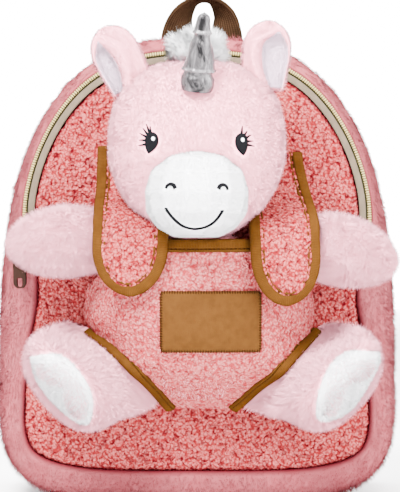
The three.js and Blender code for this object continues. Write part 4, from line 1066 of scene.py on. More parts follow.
@dataclass(frozen=True)
class BagForm:
    """The outline of the bag seen from the front, its round side wall and its padded panels."""

    half_width: float = 119.5
    widest: float = 85.0
    height: float = 277.0
    base_drop: float = 3.0
    top_power: float = 2.6
    base_power: float = 4.4
    front: float = -53.0
    back: float = 55.0
    front_inset: float = 15.5
    back_inset: float = 8.0
    side_powers: tuple[float, float] = (5.0, 2.4)
    zipper_height: float = 140.0
    middle: tuple[float, float] = (0.0, 127.4)
    front_rise: float = 9.0
    back_rise: float = 4.0
    seam: Profile = Profile(
        (0, 1.25), (0.1, 1.03), (0.21, 1.1), (0.33, 1.3), (0.42, 1.55),
        (0.5, 1.48), (0.58, 1.25), (0.66, 1.03), (0.9, 1.05), (1, 1.17),
    )

    def stations(self, shares: Array) -> Array:
        """Places round the outline.

        Args:
            shares: shares of the outline's length, from the middle of the base towards the right.

        Returns:
            Rows of x, z and the inward direction's x and z.
        """
        angle = np.linspace(0, math.tau, 20001) - math.pi / 2
        upper = np.sin(angle) > 0
        exponent = 2 / np.where(upper, self.top_power, self.base_power)
        tall = np.where(upper, self.height - self.widest, self.widest + self.base_drop)
        x = self.half_width * power(np.cos(angle), exponent)
        z = self.widest + tall * power(np.sin(angle), exponent)
        run = np.concatenate(([0], np.cumsum(np.hypot(np.diff(x), np.diff(z)))))
        at = np.mod(shares, 1.0) * run[-1]
        ahead = np.mod(at + 1.5, run[-1])
        behind = np.mod(at - 1.5, run[-1])
        dx = np.interp(ahead, run, x) - np.interp(behind, run, x)
        dz = np.interp(ahead, run, z) - np.interp(behind, run, z)
        length = np.hypot(dx, dz)
        return np.column_stack([np.interp(at, run, x), np.interp(at, run, z), -dz / length, dx / length])

    def seam_inset(self, z: Array) -> Array:
        """How far the front seam lies inside the outline."""
        return self.front_inset * self.seam(z / self.height)

    def place(self, station: Array, inset: Array, depth: Array, floor: float = 0.0) -> Array:
        """Points inside the outline at a depth, in metres."""
        x = station[..., 0] + station[..., 2] * inset
        z = np.maximum(station[..., 1] + station[..., 3] * inset, floor)
        return np.stack([x, np.broadcast_to(depth, x.shape), z], axis=-1) * MM

    def side(self, station: Array, distances: Array, sink: float = 0.0) -> Array:
        """Points of the side wall behind one station."""
        inset, depth = self.side_section(station)
        run = np.concatenate(([0], np.cumsum(np.hypot(np.diff(inset), np.diff(depth)))))
        step_inset = np.gradient(inset, run)
        step_depth = np.gradient(depth, run)
        at_inset = np.interp(distances, run, inset) + sink * np.interp(distances, run, step_depth)
        at_depth = np.interp(distances, run, depth) - sink * np.interp(distances, run, step_inset)
        return self.place(station[None, :], at_inset, at_depth, sink)

    def side_section(self, station: Array) -> tuple[Array, Array]:
        """The side wall's section at a station, from the front seam to the back seam."""
        t = np.linspace(1, -1, 161)
        blend = smoothstep(station[1], 0, self.widest)
        exponent = 2 / (self.side_powers[0] + (self.side_powers[1] - self.side_powers[0]) * blend)
        turn = np.abs(t) * math.pi / 2
        reach = np.where(t > 0, self.seam_inset(station[1]), self.back_inset)
        inset = reach * (1 - np.cos(turn) ** exponent)
        depth = np.where(t > 0, self.front, self.back) * np.sin(turn) ** exponent
        return inset, depth

    def side_length(self, station: Array) -> float:
        """The length of the side wall from seam to seam."""
        inset, depth = self.side_section(station)
        return float(np.hypot(np.diff(inset), np.diff(depth)).sum())

    def panel_rim(self, shares: Array, front: bool) -> Array:
        """The panel's outline, as rows of x and z in millimetres."""
        station = self.stations(shares)
        inset = self.seam_inset(station[:, 1]) if front else self.back_inset
        return station[:, :2] + station[:, 2:] * np.reshape(inset, (-1, 1))

    def panel(self, shares: Array, rings: Array, front: bool, sink: float = 0.0) -> Array:
        """A panel's surface as rings from its middle to its seam."""
        rim = self.panel_rim(shares, front)
        middle = np.array(self.middle)
        flat = middle + rings[:, None, None] * (rim - middle)[None, :, :]
        side = -1 if front else 1
        rise = self.front_rise if front else self.back_rise
        depth = (self.front if front else self.back) + side * (rise * (1 - rings**3) - sink)
        y = np.broadcast_to(depth[:, None], flat.shape[:2])
        return np.stack([flat[..., 0], y, flat[..., 1]], axis=-1) * MM

    def front_depth(self, x: Array, z: Array) -> Array:
        """The depth of the front panel's face, in millimetres."""
        rim = self.panel_rim(np.arange(1440) / 1440, True) - np.array(self.middle)
        angle = np.arctan2(rim[:, 1], rim[:, 0])
        order = np.argsort(angle)
        dx = np.asarray(x, float) - self.middle[0]
        dz = np.asarray(z, float) - self.middle[1]
        spokes = np.linalg.norm(rim, axis=1)[order]
        reach = np.interp(np.arctan2(dz, dx), angle[order], spokes, period=math.tau)
        share = np.minimum(np.hypot(dx, dz) / reach, 1)
        return self.front - self.front_rise * (1 - share**3)


def shell(name: str, outer: Array, inner: Array, closing: list) -> Piece:
    """A closed piece from two grids whose columns run round."""
    rows, columns = outer.shape[:2]
    count = rows * columns
    vertices = np.vstack([outer.reshape(-1, 3), inner.reshape(-1, 3)])
    hidden = grid_faces(inner.shape[0], columns, wrap=True, start=count)[:, ::-1]
    piece = make_object(name, vertices, [*grid_faces(rows, columns, wrap=True), *hidden, *closing])
    face_outwards(piece)
    set_attribute(piece, "pile", np.repeat([1.0, 0.0], [count, inner.size // 3]))
    return piece


def disc_solid(name: str, front: Array, back: Array) -> Piece:
    """A closed plate between two sets of rings, the innermost first."""
    rings, columns = front.shape[:2]
    count = rings * columns
    rim = count - columns + np.arange(columns)
    under = count + (back.shape[0] - 1) * columns + np.arange(columns)
    wall = np.column_stack([rim, np.roll(rim, -1), np.roll(under, -1), under])
    ends = [range(columns), range(count + columns - 1, count - 1, -1)]
    return shell(name, front, back, [*ends, *wall])


def band_solid(name: str, outer: Array, inner: Array) -> Piece:
    """A closed ring-shaped wall between an outer and an inner grid whose columns run round."""
    rows, columns = outer.shape[:2]
    count = rows * columns
    walls = []
    for here, there in ((0, count), (count - columns, count + (inner.shape[0] - 1) * columns)):
        edge = here + np.arange(columns)
        other = there + np.arange(columns)
        walls += list(np.column_stack([np.roll(edge, -1), edge, other, np.roll(other, -1)]))
    return shell(name, outer, inner, walls)


@dataclass
class BagBody:
    """The fleece front, the fur side wall and the fur back."""

    form: BagForm
    columns: int = 900
    side_columns: int = 300
    zipper_room: float = 8.6
    edge_room: float = 0.1
    side_wall: float = 5.0
    front_wall: float = 5.0
    back_wall: float = 9.0
    curl: float = 2.5
    curl_depth: float = 1.0
    rim_start: float = 0.97
    rim_drop: float = 1.6
    # The width in millimetres of the strip beside the front seam that is bare at its very edge and carries
    # painted shade.
    shaded_crease: float = 1.2
    side_hair: Hair = Hair(150_000, 0.005, 0.0004, (0.0, 0.15, -1.1), clump=0.009, clumping=1.0, seed=3)
    back_hair: Hair = Hair(60_000, 0.0042, 0.0005, (0.0, 0.0, -0.9), seed=4)

    def build(self, shop: Workshop) -> None:
        """Build the three padded walls."""
        self.front_panel(shop)
        self.side(shop)
        self.back_panel(shop)

    def front_panel(self, shop: Workshop) -> None:
        """The curly fleece front, fine where it shows round the toy."""
        shares = np.arange(self.columns) / self.columns
        rings = np.concatenate((np.linspace(0.1, 0.42, 8)[:-1], np.linspace(0.42, 1, 62)))
        front = self.form.panel(shares, rings, True)
        front[..., 1] += (self.rim_drop * MM * smoothstep(rings, self.rim_start, 1) ** 2)[:, None]
        back = self.form.panel(shares, np.array([0.1, 0.6, 1.0]), True, self.front_wall)
        piece = disc_solid("front_fleece", front, back)
        # Painted shade: the attribute seam darkens the fleece towards its rim, where it tucks against the
        # zipper tape and the fur.
        seam = np.repeat(smoothstep(rings, self.rim_start + 0.012, 1), self.columns)
        set_attribute(piece, "seam", np.concatenate([seam, np.zeros(back.size // 3)]))
        shop.curls(piece, self.curl * MM, self.curl_depth * MM, shop.finishes.fleece)
        shop.declare(piece, ("front_panel",))

    def side(self, shop: Workshop) -> None:
        """The fur side wall, set back from the zipper along its upper part."""
        stations = self.form.stations(np.arange(self.side_columns) / self.side_columns)
        low = self.form.zipper_height
        near = smoothstep(stations[:, 1], low - 3, low + 3)
        starts = self.edge_room + near * (self.zipper_room - self.edge_room)
        outer = np.empty((36, self.side_columns, 3))
        inner = np.empty((12, self.side_columns, 3))
        for column, (station, start) in enumerate(zip(stations, starts)):
            end = self.form.side_length(station) - self.edge_room
            within = np.linspace(start + 0.4, end - 0.4, 12)
            outer[:, column] = self.form.side(station, np.linspace(start, end, 36))
            inner[:, column] = self.form.side(station, within, self.side_wall)
        piece = band_solid("side_fur", outer, inner)
        total = np.linalg.norm(np.diff(outer, axis=0), axis=2).sum(axis=0)
        lengths = np.linspace(0, 1, 36)[:, None] * total / MM
        # Painted shade: the attribute seam darkens the fur in the crease beside the front seam.
        seam = 1 - smoothstep(lengths, 0.3 * self.shaded_crease, self.shaded_crease)
        set_attribute(piece, "seam", np.concatenate([seam.ravel(), np.zeros(inner.size // 3)]))
        pile = smoothstep(lengths, 0, 0.3 * self.shaded_crease)
        set_attribute(piece, "pile", np.concatenate([pile.ravel(), np.zeros(inner.size // 3)]))
        shop.pile(piece, self.side_hair, shop.finishes.fur)
        shop.declare(piece, ("gusset",))

    def back_panel(self, shop: Workshop) -> None:
        """The fur back."""
        shares = np.arange(240) / 240
        front = self.form.panel(shares, np.linspace(0.05, 1, 24), False)
        back = self.form.panel(shares, np.array([0.05, 0.6, 1.0]), False, self.back_wall)
        piece = disc_solid("back_fur", front, back)
        shop.pile(piece, self.back_hair, shop.finishes.fur)
        shop.declare(piece, ("back_panel",))


@dataclass
class Zipper:
    """The zipper over the top: its tape, its coil and its slider with the pull."""

    form: BagForm
    steps: int = 420
    tape: tuple[float, float, float] = (0.4, 4.6, 1.4)
    olive: float = 5.0
    coil_middle: float = 6.7
    coil_width: float = 3.1
    coil_pitch: float = 1.45
    tab_axis: tuple[float, float, float] = (-0.91082, 0.41065, -0.04216)
    tab_corner: float = 3.6
    tab_voxel: float = 0.00028
    tab_rounds: int = 14

    def build(self, shop: Workshop) -> None:
        """Build the zipper's pieces."""
        shares = np.linspace(0, 1, 20001)
        high = shares[self.form.stations(shares)[:, 1] > self.form.zipper_height]
        stations = self.form.stations(np.linspace(high[0], high[-1], self.steps))
        path, out, lay = self.frame_at(stations, self.coil_middle)
        self.build_tape(shop, stations)
        size = (self.coil_width * MM, self.coil_pitch * 0.8 * MM, 1.9 * MM)
        coil = shop.row("coil", path + out * 0.0004, lay, out, self.coil_pitch * MM, size, shop.finishes.coil)
        shop.declare(coil, ("zipper_teeth",))
        ground = sweep("coil_ground", path - out * 0.0009, lay, out, rounded_section(0.0042, 0.0009))
        shop.declare(ground, finish=shop.finishes.cord)
        inner, inner_out, inner_lay = self.frame_at(stations, self.olive)
        section = rounded_section(0.0009, 0.0009)
        cord = sweep("coil_edge", inner + inner_out * 0.0001, inner_lay, inner_out, section)
        shop.declare(cord, finish=shop.finishes.cord)
        slider = bevelled_copy("slider", "zipper_slider", 0.00045)
        shop.declare(slider, ("zipper_slider",), finish=shop.finishes.metal)
        tab = soft_copy("pull_tab", "zipper_pull", self.tab_voxel, self.tab_rounds)
        self.round_end(tab)
        shop.declare(tab, ("zipper_pull",), body="pull", finish=shop.finishes.metal)

    def round_end(self, tab: Piece) -> None:
        """Narrow the tab's free end to a round one."""
        points = positions(tab)
        middle = points.mean(axis=0)
        wide = unit(np.array(self.tab_axis))
        spread = points - middle
        spread = spread - (spread @ wide)[:, None] * wide
        down = np.linalg.svd(spread, full_matrices=False)[2][0]
        down = down * -np.sign(down[2])
        across = (points - middle) @ wide
        across = across - (across.max() + across.min()) / 2
        low = (points - middle) @ down
        radius = self.tab_corner * MM
        beyond = np.clip(low - (low.max() - radius), 0, radius)
        half = across.max()
        share = (half - radius + np.sqrt(radius**2 - beyond**2)) / half
        set_positions(tab, points + (across * (share - 1))[:, None] * wide)

    def frame_at(self, stations: Array, distance: float) -> tuple[Array, Array, Array]:
        """A path along the side wall at a distance from the front seam."""
        around = np.array([distance - 0.5, distance, distance + 0.5])
        points = np.array([self.form.side(station, around) for station in stations])
        inner = np.array([self.form.side(station, around[1:2], 1.0)[0] for station in stations])
        return points[:, 1], unit(points[:, 1] - inner), unit(points[:, 2] - points[:, 0])

    def build_tape(self, shop: Workshop, stations: Array) -> None:
        """The woven tape between the front fleece and the coil."""
        start, end, thickness = self.tape
        across = np.linspace(start, end, 7)
        outer = np.array([self.form.side(station, across) for station in stations])
        inner = np.array([self.form.side(station, across, thickness) for station in stations])
        piece = sheet_solid("tape", outer, inner)
        run = lengths_along(outer[:, 3])
        uv = np.stack(np.meshgrid(run, across * MM, indexing="ij"), axis=-1).reshape(-1, 2)
        uv_grid(piece, np.vstack([uv, uv]))
        shop.declare(piece, ("zipper_tape",), finish=shop.finishes.tape)


@dataclass(frozen=True)
class Binding:
    """A folded binding along a cloth edge, with a row of stitches near its inner side. Millimetres."""

    width: float
    thickness: float
    reach: float = 0.0
    lift: float = 0.0
    turn: float = 1.0
    stitch_across: float = 0.24
    stitch_out: float = 0.3

    def section(self) -> Array:
        """Its outline with a sewn groove, as lengths across and out in metres."""
        x = np.concatenate((np.linspace(-0.5, 0.5, 21), np.linspace(0.5, -0.5, 9)[1:-1]))
        upper = np.arange(len(x)) < 21
        dome = (1 - np.abs(2 * x) ** 3.2) ** 0.55
        groove = 0.32 * np.exp(-(((x - self.stitch_across) / 0.05) ** 2))
        y = np.where(upper, 0.5 * dome - groove * dome, -0.5 * dome)
        return np.column_stack([x * (self.width * MM), y * (self.thickness * MM)])[::-1]

    def build(
        self, shop: Workshop, names: tuple[str, str], node: str, path: Array, inward: Array
    ) -> None:
        """Build the binding and its stitches.

        Args:
            shop: the workshop.
            names: the names of the binding and of its stitches.
            node: the node that it stands for.
            path: points along the bound edge.
            inward: points of the same cloth, further from the edge.
        """
        along = unit(np.gradient(path, axis=0))
        across = (inward - path) * np.array([1.0, self.turn, 1.0])
        across = unit(across - along * np.sum(across * along, axis=1, keepdims=True))
        out = np.cross(along, across)
        out *= np.sign(-out[:, 1:2])
        path = path - across * (self.reach * MM) + out * (self.lift * MM)
        piece = sweep(names[0], path, across, out, self.section())
        shop.declare(piece, (node,), finish=shop.finishes.binding)
        seam = path + across * (self.stitch_across * self.width * MM)
        seam = seam + out * (self.stitch_out * self.thickness * MM)
        stitches = shop.row(names[1], seam, along, out, STITCH_PITCH, STITCH_SIZE, shop.finishes.thread)
        shop.declare(stitches)


@dataclass
class Bib:
    """The bib over the toy's lap: its fleece, its bindings and its patch."""

    form: BagForm
    base: float = 53.0
    tall: float = 97.3
    half: float = 70.0
    lift: float = 50.0
    gap: float = 0.35
    wall: float = 3.0
    crown_power: float = 2.4
    crown_fullness: float = 0.8
    rows: int = 130
    columns: int = 170
    top_binding: Binding = Binding(8.0, 4.6, reach=2.2, lift=1.2, turn=0.1)
    leg_binding: Binding = Binding(7.2, 4.4, reach=2.2, lift=1.2, turn=0.1)
    patch_middle: tuple[float, float] = (8.0, 106.6)
    patch_size: tuple[float, float] = (58.3, 35.4)
    patch_thickness: float = 1.8
    leg_swell: float = 16.0
    leg_reach: float = 34.0
    leg_sink: float = 6.0
    leg_rounds: int = 40
    leg_span: tuple[float, float] = (-0.12, 0.62)
    leg_drop: float = 60.0
    left: Profile = Profile(
        (0, 0.16), (0.06, 0.23), (0.16, 0.34), (0.26, 0.47), (0.36, 0.64), (0.46, 0.85),
        (0.55, 0.96), (0.66, 0.96), (0.76, 0.92), (0.85, 0.77), (0.93, 0.6), (1, 0.49),
    )
    right: Profile = Profile(
        (0, 0.23), (0.06, 0.33), (0.16, 0.47), (0.26, 0.64), (0.36, 0.8), (0.46, 0.95), (0.55, 1), (0.66, 1),
        (0.76, 0.96), (0.85, 0.83), (0.93, 0.67), (1, 0.57),
    )
    edge: Profile = Profile(
        (0, 0), (0.06, 0.14), (0.16, 0.4), (0.26, 0.62), (0.36, 0.52), (0.46, 0.12), (0.55, 0), (0.66, 0),
        (0.76, 0.04), (0.85, 0.5), (0.93, 0.78), (1, 0.84),
    )
    crown: Profile = Profile(
        (0, 0.02), (0.06, 0.22), (0.16, 0.54), (0.26, 0.76), (0.36, 0.88), (0.46, 0.95),
        (0.55, 0.98), (0.66, 1), (0.76, 1), (0.85, 1), (0.93, 0.98), (1, 0.96),
    )

    def point(self, rise: Array, across: Array, raised: float | Array = 0.0) -> Array:
        """Points of the bib's face, in metres."""
        rise, across = np.broadcast_arrays(np.asarray(rise, float), np.asarray(across, float))
        side = np.where(across < 0, self.left(rise), self.right(rise))
        x = across * side * self.half
        z = self.base + rise * self.tall
        round_share = np.maximum(1 - np.abs(across) ** self.crown_power, 0) ** self.crown_fullness
        edge, crown = self.edge(rise), self.crown(rise)
        lift = self.gap + self.wall + (edge + (crown - edge) * round_share) * self.lift
        y = self.form.front_depth(x, z) - lift - raised
        return np.stack([x, y, z], axis=-1) * MM

    def on_face(self, x: Array, z: Array, raised: float | Array) -> Array:
        """Points of the bib's face under places seen from the front, in metres."""
        rise = (np.asarray(z, float) - self.base) / self.tall
        side = np.where(np.asarray(x) < 0, self.left(rise), self.right(rise)) * self.half
        return self.point(rise, np.asarray(x) / side, raised)

    def build(self, shop: Workshop) -> None:
        """Build the bib's pieces."""
        rise = np.linspace(0.01, 0.96, self.rows)
        across = np.linspace(-0.985, 0.985, self.columns)
        front = self.point(rise[:, None], across[None, :])
        back = self.point(rise[:, None], across[None, :], -self.wall)
        piece = sheet_solid("bib_fleece", front, back)
        shop.curls(piece, CURL_SIZE, CURL_DEPTH, shop.finishes.bib)
        shop.declare(piece, ("pouch_panel",))

        across = np.linspace(-0.99, 0.99, 90)
        top = self.point(0.975, across, -self.wall / 2)
        lower = self.point(0.9, across, -self.wall / 2)
        names = ("top_binding", "top_binding_stitches")
        self.top_binding.build(shop, names, "pouch_top_binding", top, lower)
        rise = np.linspace(0.03, 0.485, 110)
        for name, sign in SIDES:
            path = self.point(rise, sign, -self.wall / 2)
            inward = self.point(rise, sign * 0.6, -self.wall / 2)
            names = (f"leg_edge_{name}", f"leg_edge_{name}_stitches")
            self.leg_binding.build(shop, names, f"leg_binding_{name}", path, inward)
        self.build_patch(shop)

    def hold_leg(self, leg: Piece, sign: float) -> None:
        """Press a leg back under the bib and let it swell out of its opening.

        Args:
            leg: the leg's skin, before it has its pile.
            sign: -1 for the left leg and 1 for the right.
        """
        points = positions(leg)
        x, z = points[:, 0] / MM, points[:, 2] / MM
        rise = (z - self.base) / self.tall
        side = np.where(sign < 0, self.left(rise), self.right(rise)) * self.half
        edge = self.point(np.clip(rise, 0, 1), sign)[:, 1] / MM
        beyond = x * sign - side
        low, high = self.leg_span
        t = np.clip((beyond - self.leg_binding.reach) / self.leg_reach, 0, 0.96)
        drop = self.leg_drop * smoothstep(-rise, 0, -low)
        limit = edge - self.leg_swell * t / (1 - t) - drop + self.leg_sink
        inside = beyond < 0
        under = self.on_face(x, z, -self.wall - self.leg_sink)[:, 1] / MM
        limit = np.where(inside, np.maximum(under, edge + self.leg_sink), limit)
        held = (rise > low) & (rise < high) & (beyond < self.leg_reach)
        points[:, 1] = np.where(held, np.maximum(points[:, 1], limit * MM), points[:, 1])
        set_positions(leg, points)
        pile = np.where(held & (points[:, 1] < 0), 0.2 + 0.8 * smoothstep(beyond, 2, 12), 1.0)
        set_attribute(leg, "pile", pile)
        relax(leg, self.leg_rounds)

    def build_patch(self, shop: Workshop) -> None:
        """The leather patch, overcast round its edge."""
        wide, tall = self.patch_size
        middle_x, middle_z = self.patch_middle
        u = np.linspace(-0.5, 0.5, 60)
        v = np.linspace(-0.5, 0.5, 40)
        uu, vv = np.meshgrid(u, v)
        corner = 0.06
        pull = np.maximum(np.abs(uu) - 0.5 + corner, 0) * np.maximum(np.abs(vv) - 0.5 + corner * 1.6, 0)
        pull = pull * 60 * corner
        x = middle_x + uu * wide * (1 - pull)
        z = middle_z + vv * tall * (1 - pull)
        soft = np.minimum((0.5 - np.abs(uu)) * wide, (0.5 - np.abs(vv)) * tall)
        raised = 0.7 + self.patch_thickness * (0.55 + 0.45 * smoothstep(soft, 0, 2.2))
        piece = sheet_solid("leather_patch", self.on_face(x, z, raised), self.on_face(x, z, 0.2))
        shop.declare(piece, ("patch",), finish=shop.finishes.leather)

        corners = np.array([[-0.5, -0.5], [0.5, -0.5], [0.5, 0.5], [-0.5, 0.5], [-0.5, -0.5]]) * [wide, tall]
        border = resample(corners, 400)
        towards = -border / np.array([wide, tall])
        sideways = np.where(np.abs(towards[:, :1]) > np.abs(towards[:, 1:]), [1.0, 0.0], [0.0, 1.0])
        inside = border * (1 - 1.6 / np.array([wide, tall]))
        raised = 0.7 + self.patch_thickness * 0.8
        seam = self.on_face(middle_x + inside[:, 0], middle_z + inside[:, 1], raised)
        lay = np.stack([sideways[:, 0], np.zeros(len(sideways)), sideways[:, 1]], axis=-1)
        out = np.tile([0.0, -1.0, 0.0], (len(seam), 1))
        size = (0.0026, 0.0008, 0.0009)
        stitches = shop.row("patch_stitches", seam, lay, out, 0.0015, size, shop.finishes.thread)
        shop.declare(stitches)


@dataclass
class Flap:
    """One of the two fleece tongues that fall over the toy's shoulders."""

    form: BagForm
    name: str
    x: float
    lower: float
    tilt: float
    sign: float
    top_shift: float = 0.0
    half: float = 18.0
    long: float = 86.0
    top: float = 209.0
    gap: float = 0.35
    wall: float = 3.0
    stand: float = 54.2
    curl: float = 2.5
    round_start: float = 0.7
    side_share: float = 0.62
    binding: Binding = Binding(9.0, 4.8, lift=-1.5)
    drape: Profile = Profile(
        (0, 0), (0.15, 0.04), (0.27, 0.12), (0.34, 0.3), (0.41, 0.6), (0.48, 0.8), (0.58, 0.93), (0.7, 0.99),
        (0.85, 1), (1, 0.97),
    )

    def point(self, drop: Array, across: Array, raised: float = 0.0) -> Array:
        """Points of the flap's face, in metres."""
        drop, across = np.broadcast_arrays(np.asarray(drop, float), np.asarray(across, float))
        rounding = np.clip((drop - self.round_start) / (1 - self.round_start), 0, 1)
        half = self.half * np.sqrt(1 - rounding**2)
        x = self.x + self.tilt * drop + across * half
        x = x + self.top_shift * np.maximum(across * self.sign, 0) * (1 - smoothstep(drop, 0, 0.5))
        z = self.top - self.lower - self.long * drop
        curl = self.curl * np.maximum(across * self.sign, 0) ** 2 * smoothstep(drop, 0.2, 0.6)
        lift = self.gap + self.wall + self.drape(drop) * self.stand - curl
        y = self.form.front_depth(x, z) - lift - raised
        return np.stack([x, y, z], axis=-1) * MM

    def edge_point(self, turn: Array, inward: float) -> Array:
        """Points round the flap's edge, from one top corner to the other.

        Args:
            turn: from -1 at one top corner to 1 at the other.
            inward: the share of the flap's width that the points lie inside its edge.

        Returns:
            The points in metres.
        """
        side = np.sign(turn)
        up = np.clip((np.abs(turn) - (1 - self.side_share)) / self.side_share, 0, 1)
        angle = np.clip(np.abs(turn) / (1 - self.side_share), 0, 1) * math.pi / 2
        drop = np.where(
            np.abs(turn) > 1 - self.side_share,
            self.round_start * (1 - up),
            self.round_start + (1 - self.round_start) * np.cos(angle) * inward,
        )
        rounding = np.clip((drop - self.round_start) / (1 - self.round_start), 0, 1)
        wide = np.sqrt(np.maximum(1 - rounding**2, 1e-6))
        share = np.where(np.abs(turn) > 1 - self.side_share, inward, np.sin(angle) * inward / wide)
        return self.point(drop, side * np.minimum(share, 1))

    def build(self, shop: Workshop) -> None:
        """Build the flap and its binding."""
        drop = np.concatenate((np.linspace(0, 0.72, 84), np.linspace(0.72, 0.985, 38)[1:]))
        across = np.linspace(-0.985, 0.985, 48)
        front = self.point(drop[:, None], across[None, :])
        back = self.point(drop[:, None], across[None, :], -self.wall)
        piece = sheet_solid(f"flap_fleece_{self.name}", front, back)
        shop.curls(piece, CURL_SIZE, CURL_DEPTH, shop.finishes.fleece)
        shop.declare(piece, (f"strap_flap_{self.name}",))

        turn = np.linspace(-1, 1, 220)
        path = resample(self.edge_point(turn, 0.97), 220)
        inner = resample(self.edge_point(turn, 0.8), 220)
        names = (f"flap_edge_{self.name}", f"flap_stitches_{self.name}")
        self.binding.build(shop, names, f"flap_binding_{self.name}", path, inner)


# The plush toy


@dataclass(frozen=True)
class Eye:
    """One embroidered eye, in millimetres as seen from the front."""

    x: float
    widest: float
    half: float
    crown: float
    tip: tuple[float, float]
    glint: tuple[float, float]
    lashes: tuple[tuple[float, float], ...]

    def outline(self, grow: float = 0.0) -> Array:
        """The teardrop's outline as rows of x and z."""
        angle = np.linspace(0, math.pi, 19)
        arc = np.column_stack(
            [self.x + (self.half + grow) * np.cos(angle), self.widest + (self.crown + grow) * np.sin(angle)]
        )
        s = np.linspace(0, 1, 15)[1:]
        middle = self.x + (self.tip[0] - self.x) * s**2
        half = (self.half + grow) * (1 - s**2.6)
        z = self.widest + (self.tip[1] - grow - self.widest) * s
        left = np.column_stack([middle - half, z])
        right = np.column_stack([middle + half, z])
        return np.vstack([arc, left, right[-2::-1]])


@dataclass(frozen=True)
class Ear:
    """One plush ear: a soft paddle folded over a white lining near its outer edge. Millimetres."""

    name: str
    sign: float
    foot: tuple[float, float]
    lean: float
    fold: Profile
    long: float = 38.0
    half: float = 12.8
    depth: float = -106.0
    thickness: float = 4.5
    lining_rise: tuple[float, float] = (0.02, 0.86)
    outer: Profile = Profile((0, -0.97), (0.5, -0.95), (0.7, -0.85), (0.86, -0.6))
    width: Profile = Profile(
        (0, 0.92), (0.25, 0.98), (0.5, 1.04), (0.7, 1.0), (0.84, 0.82), (0.94, 0.52), (1, 0.16)
    )

    def point(self, rise: Array, across: Array, raised: float | Array) -> Array:
        """Points in front of the ear's middle sheet, in metres."""
        rise, across = np.broadcast_arrays(np.asarray(rise, float), np.asarray(across, float))
        lean = math.radians(self.lean)
        half = self.half * self.width(rise)
        x = self.foot[0] + self.sign * (rise * self.long * math.sin(lean) - across * half * math.cos(lean))
        z = self.foot[1] + rise * self.long * math.cos(lean) + across * half * math.sin(lean)
        y = self.depth - 3.0 * across**2 - raised
        return np.stack([x, y, z], axis=-1) * MM

    def front(self, rise: Array, across: Array) -> Array:
        """How far the ear's furry front stands ahead of its middle sheet, in millimetres."""
        edge = np.sqrt(np.maximum(1 - np.abs(across) ** 4, 0)) * np.sqrt(np.clip((1.02 - rise) / 0.12, 0, 1))
        low, high = self.lining_rise
        outer, fold = self.outer(rise), self.fold(rise)
        inside = smoothstep(across, outer - 0.1, outer + 0.16)
        inside = inside * (1 - smoothstep(across, fold - 0.16, fold + 0.12))
        hollow = inside * (1 - smoothstep(rise, high - 0.2, high + 0.04))
        crest = np.exp(-(((across - fold - 0.34) / 0.26) ** 2))
        crest = crest * (1 - smoothstep(rise, high - 0.2, high + 0.1))
        return edge * (self.thickness + 2.6 * crest - (self.thickness + 0.9) * hollow)

    def build(self, shop: Workshop, hair: Hair, lining_hair: Hair) -> None:
        """Build the ear and its lining."""
        rise = np.linspace(0, 1, 40)[:, None]
        across = np.linspace(-1, 1, 44)[None, :]
        back = np.sqrt(np.maximum(1 - np.abs(across) ** 4, 0)) * np.sqrt(np.clip((1.02 - rise) / 0.12, 0, 1))
        front = self.point(rise, across, self.front(*np.broadcast_arrays(rise, across)) + 0.4)
        behind = self.point(rise, across, -self.thickness * back - 0.4)
        piece = sheet_solid(f"ear_plush_{self.name}", front, behind)
        rises, shares = np.broadcast_arrays(rise, across)
        low, high = self.lining_rise
        bare = (rises > low) & (rises < high) & (shares > self.outer(rises)) & (shares < self.fold(rises))
        set_attribute(piece, "pile", np.concatenate([np.where(bare, 0.0, 1.0).ravel(), np.ones(bare.size)]))
        shop.pile(piece, hair, shop.finishes.plush)
        shop.declare(piece, (f"ear_{self.name}",))
        rise = np.linspace(low, high - 0.01, 30)[:, None]
        outer, fold = self.outer(rise), self.fold(rise)
        across = outer + (fold - outer) * np.linspace(0.02, 0.98, 18)[None, :]
        rise = np.broadcast_to(rise, across.shape)
        raised = self.front(rise, across) + 0.4
        front = self.point(rise, across, raised + 0.7)
        behind = self.point(rise, across, raised - 0.6)
        lining = sheet_solid(f"ear_inside_{self.name}", front, behind)
        shop.pile(lining, lining_hair, shop.finishes.lining)
        shop.declare(lining, (f"ear_lining_{self.name}",))


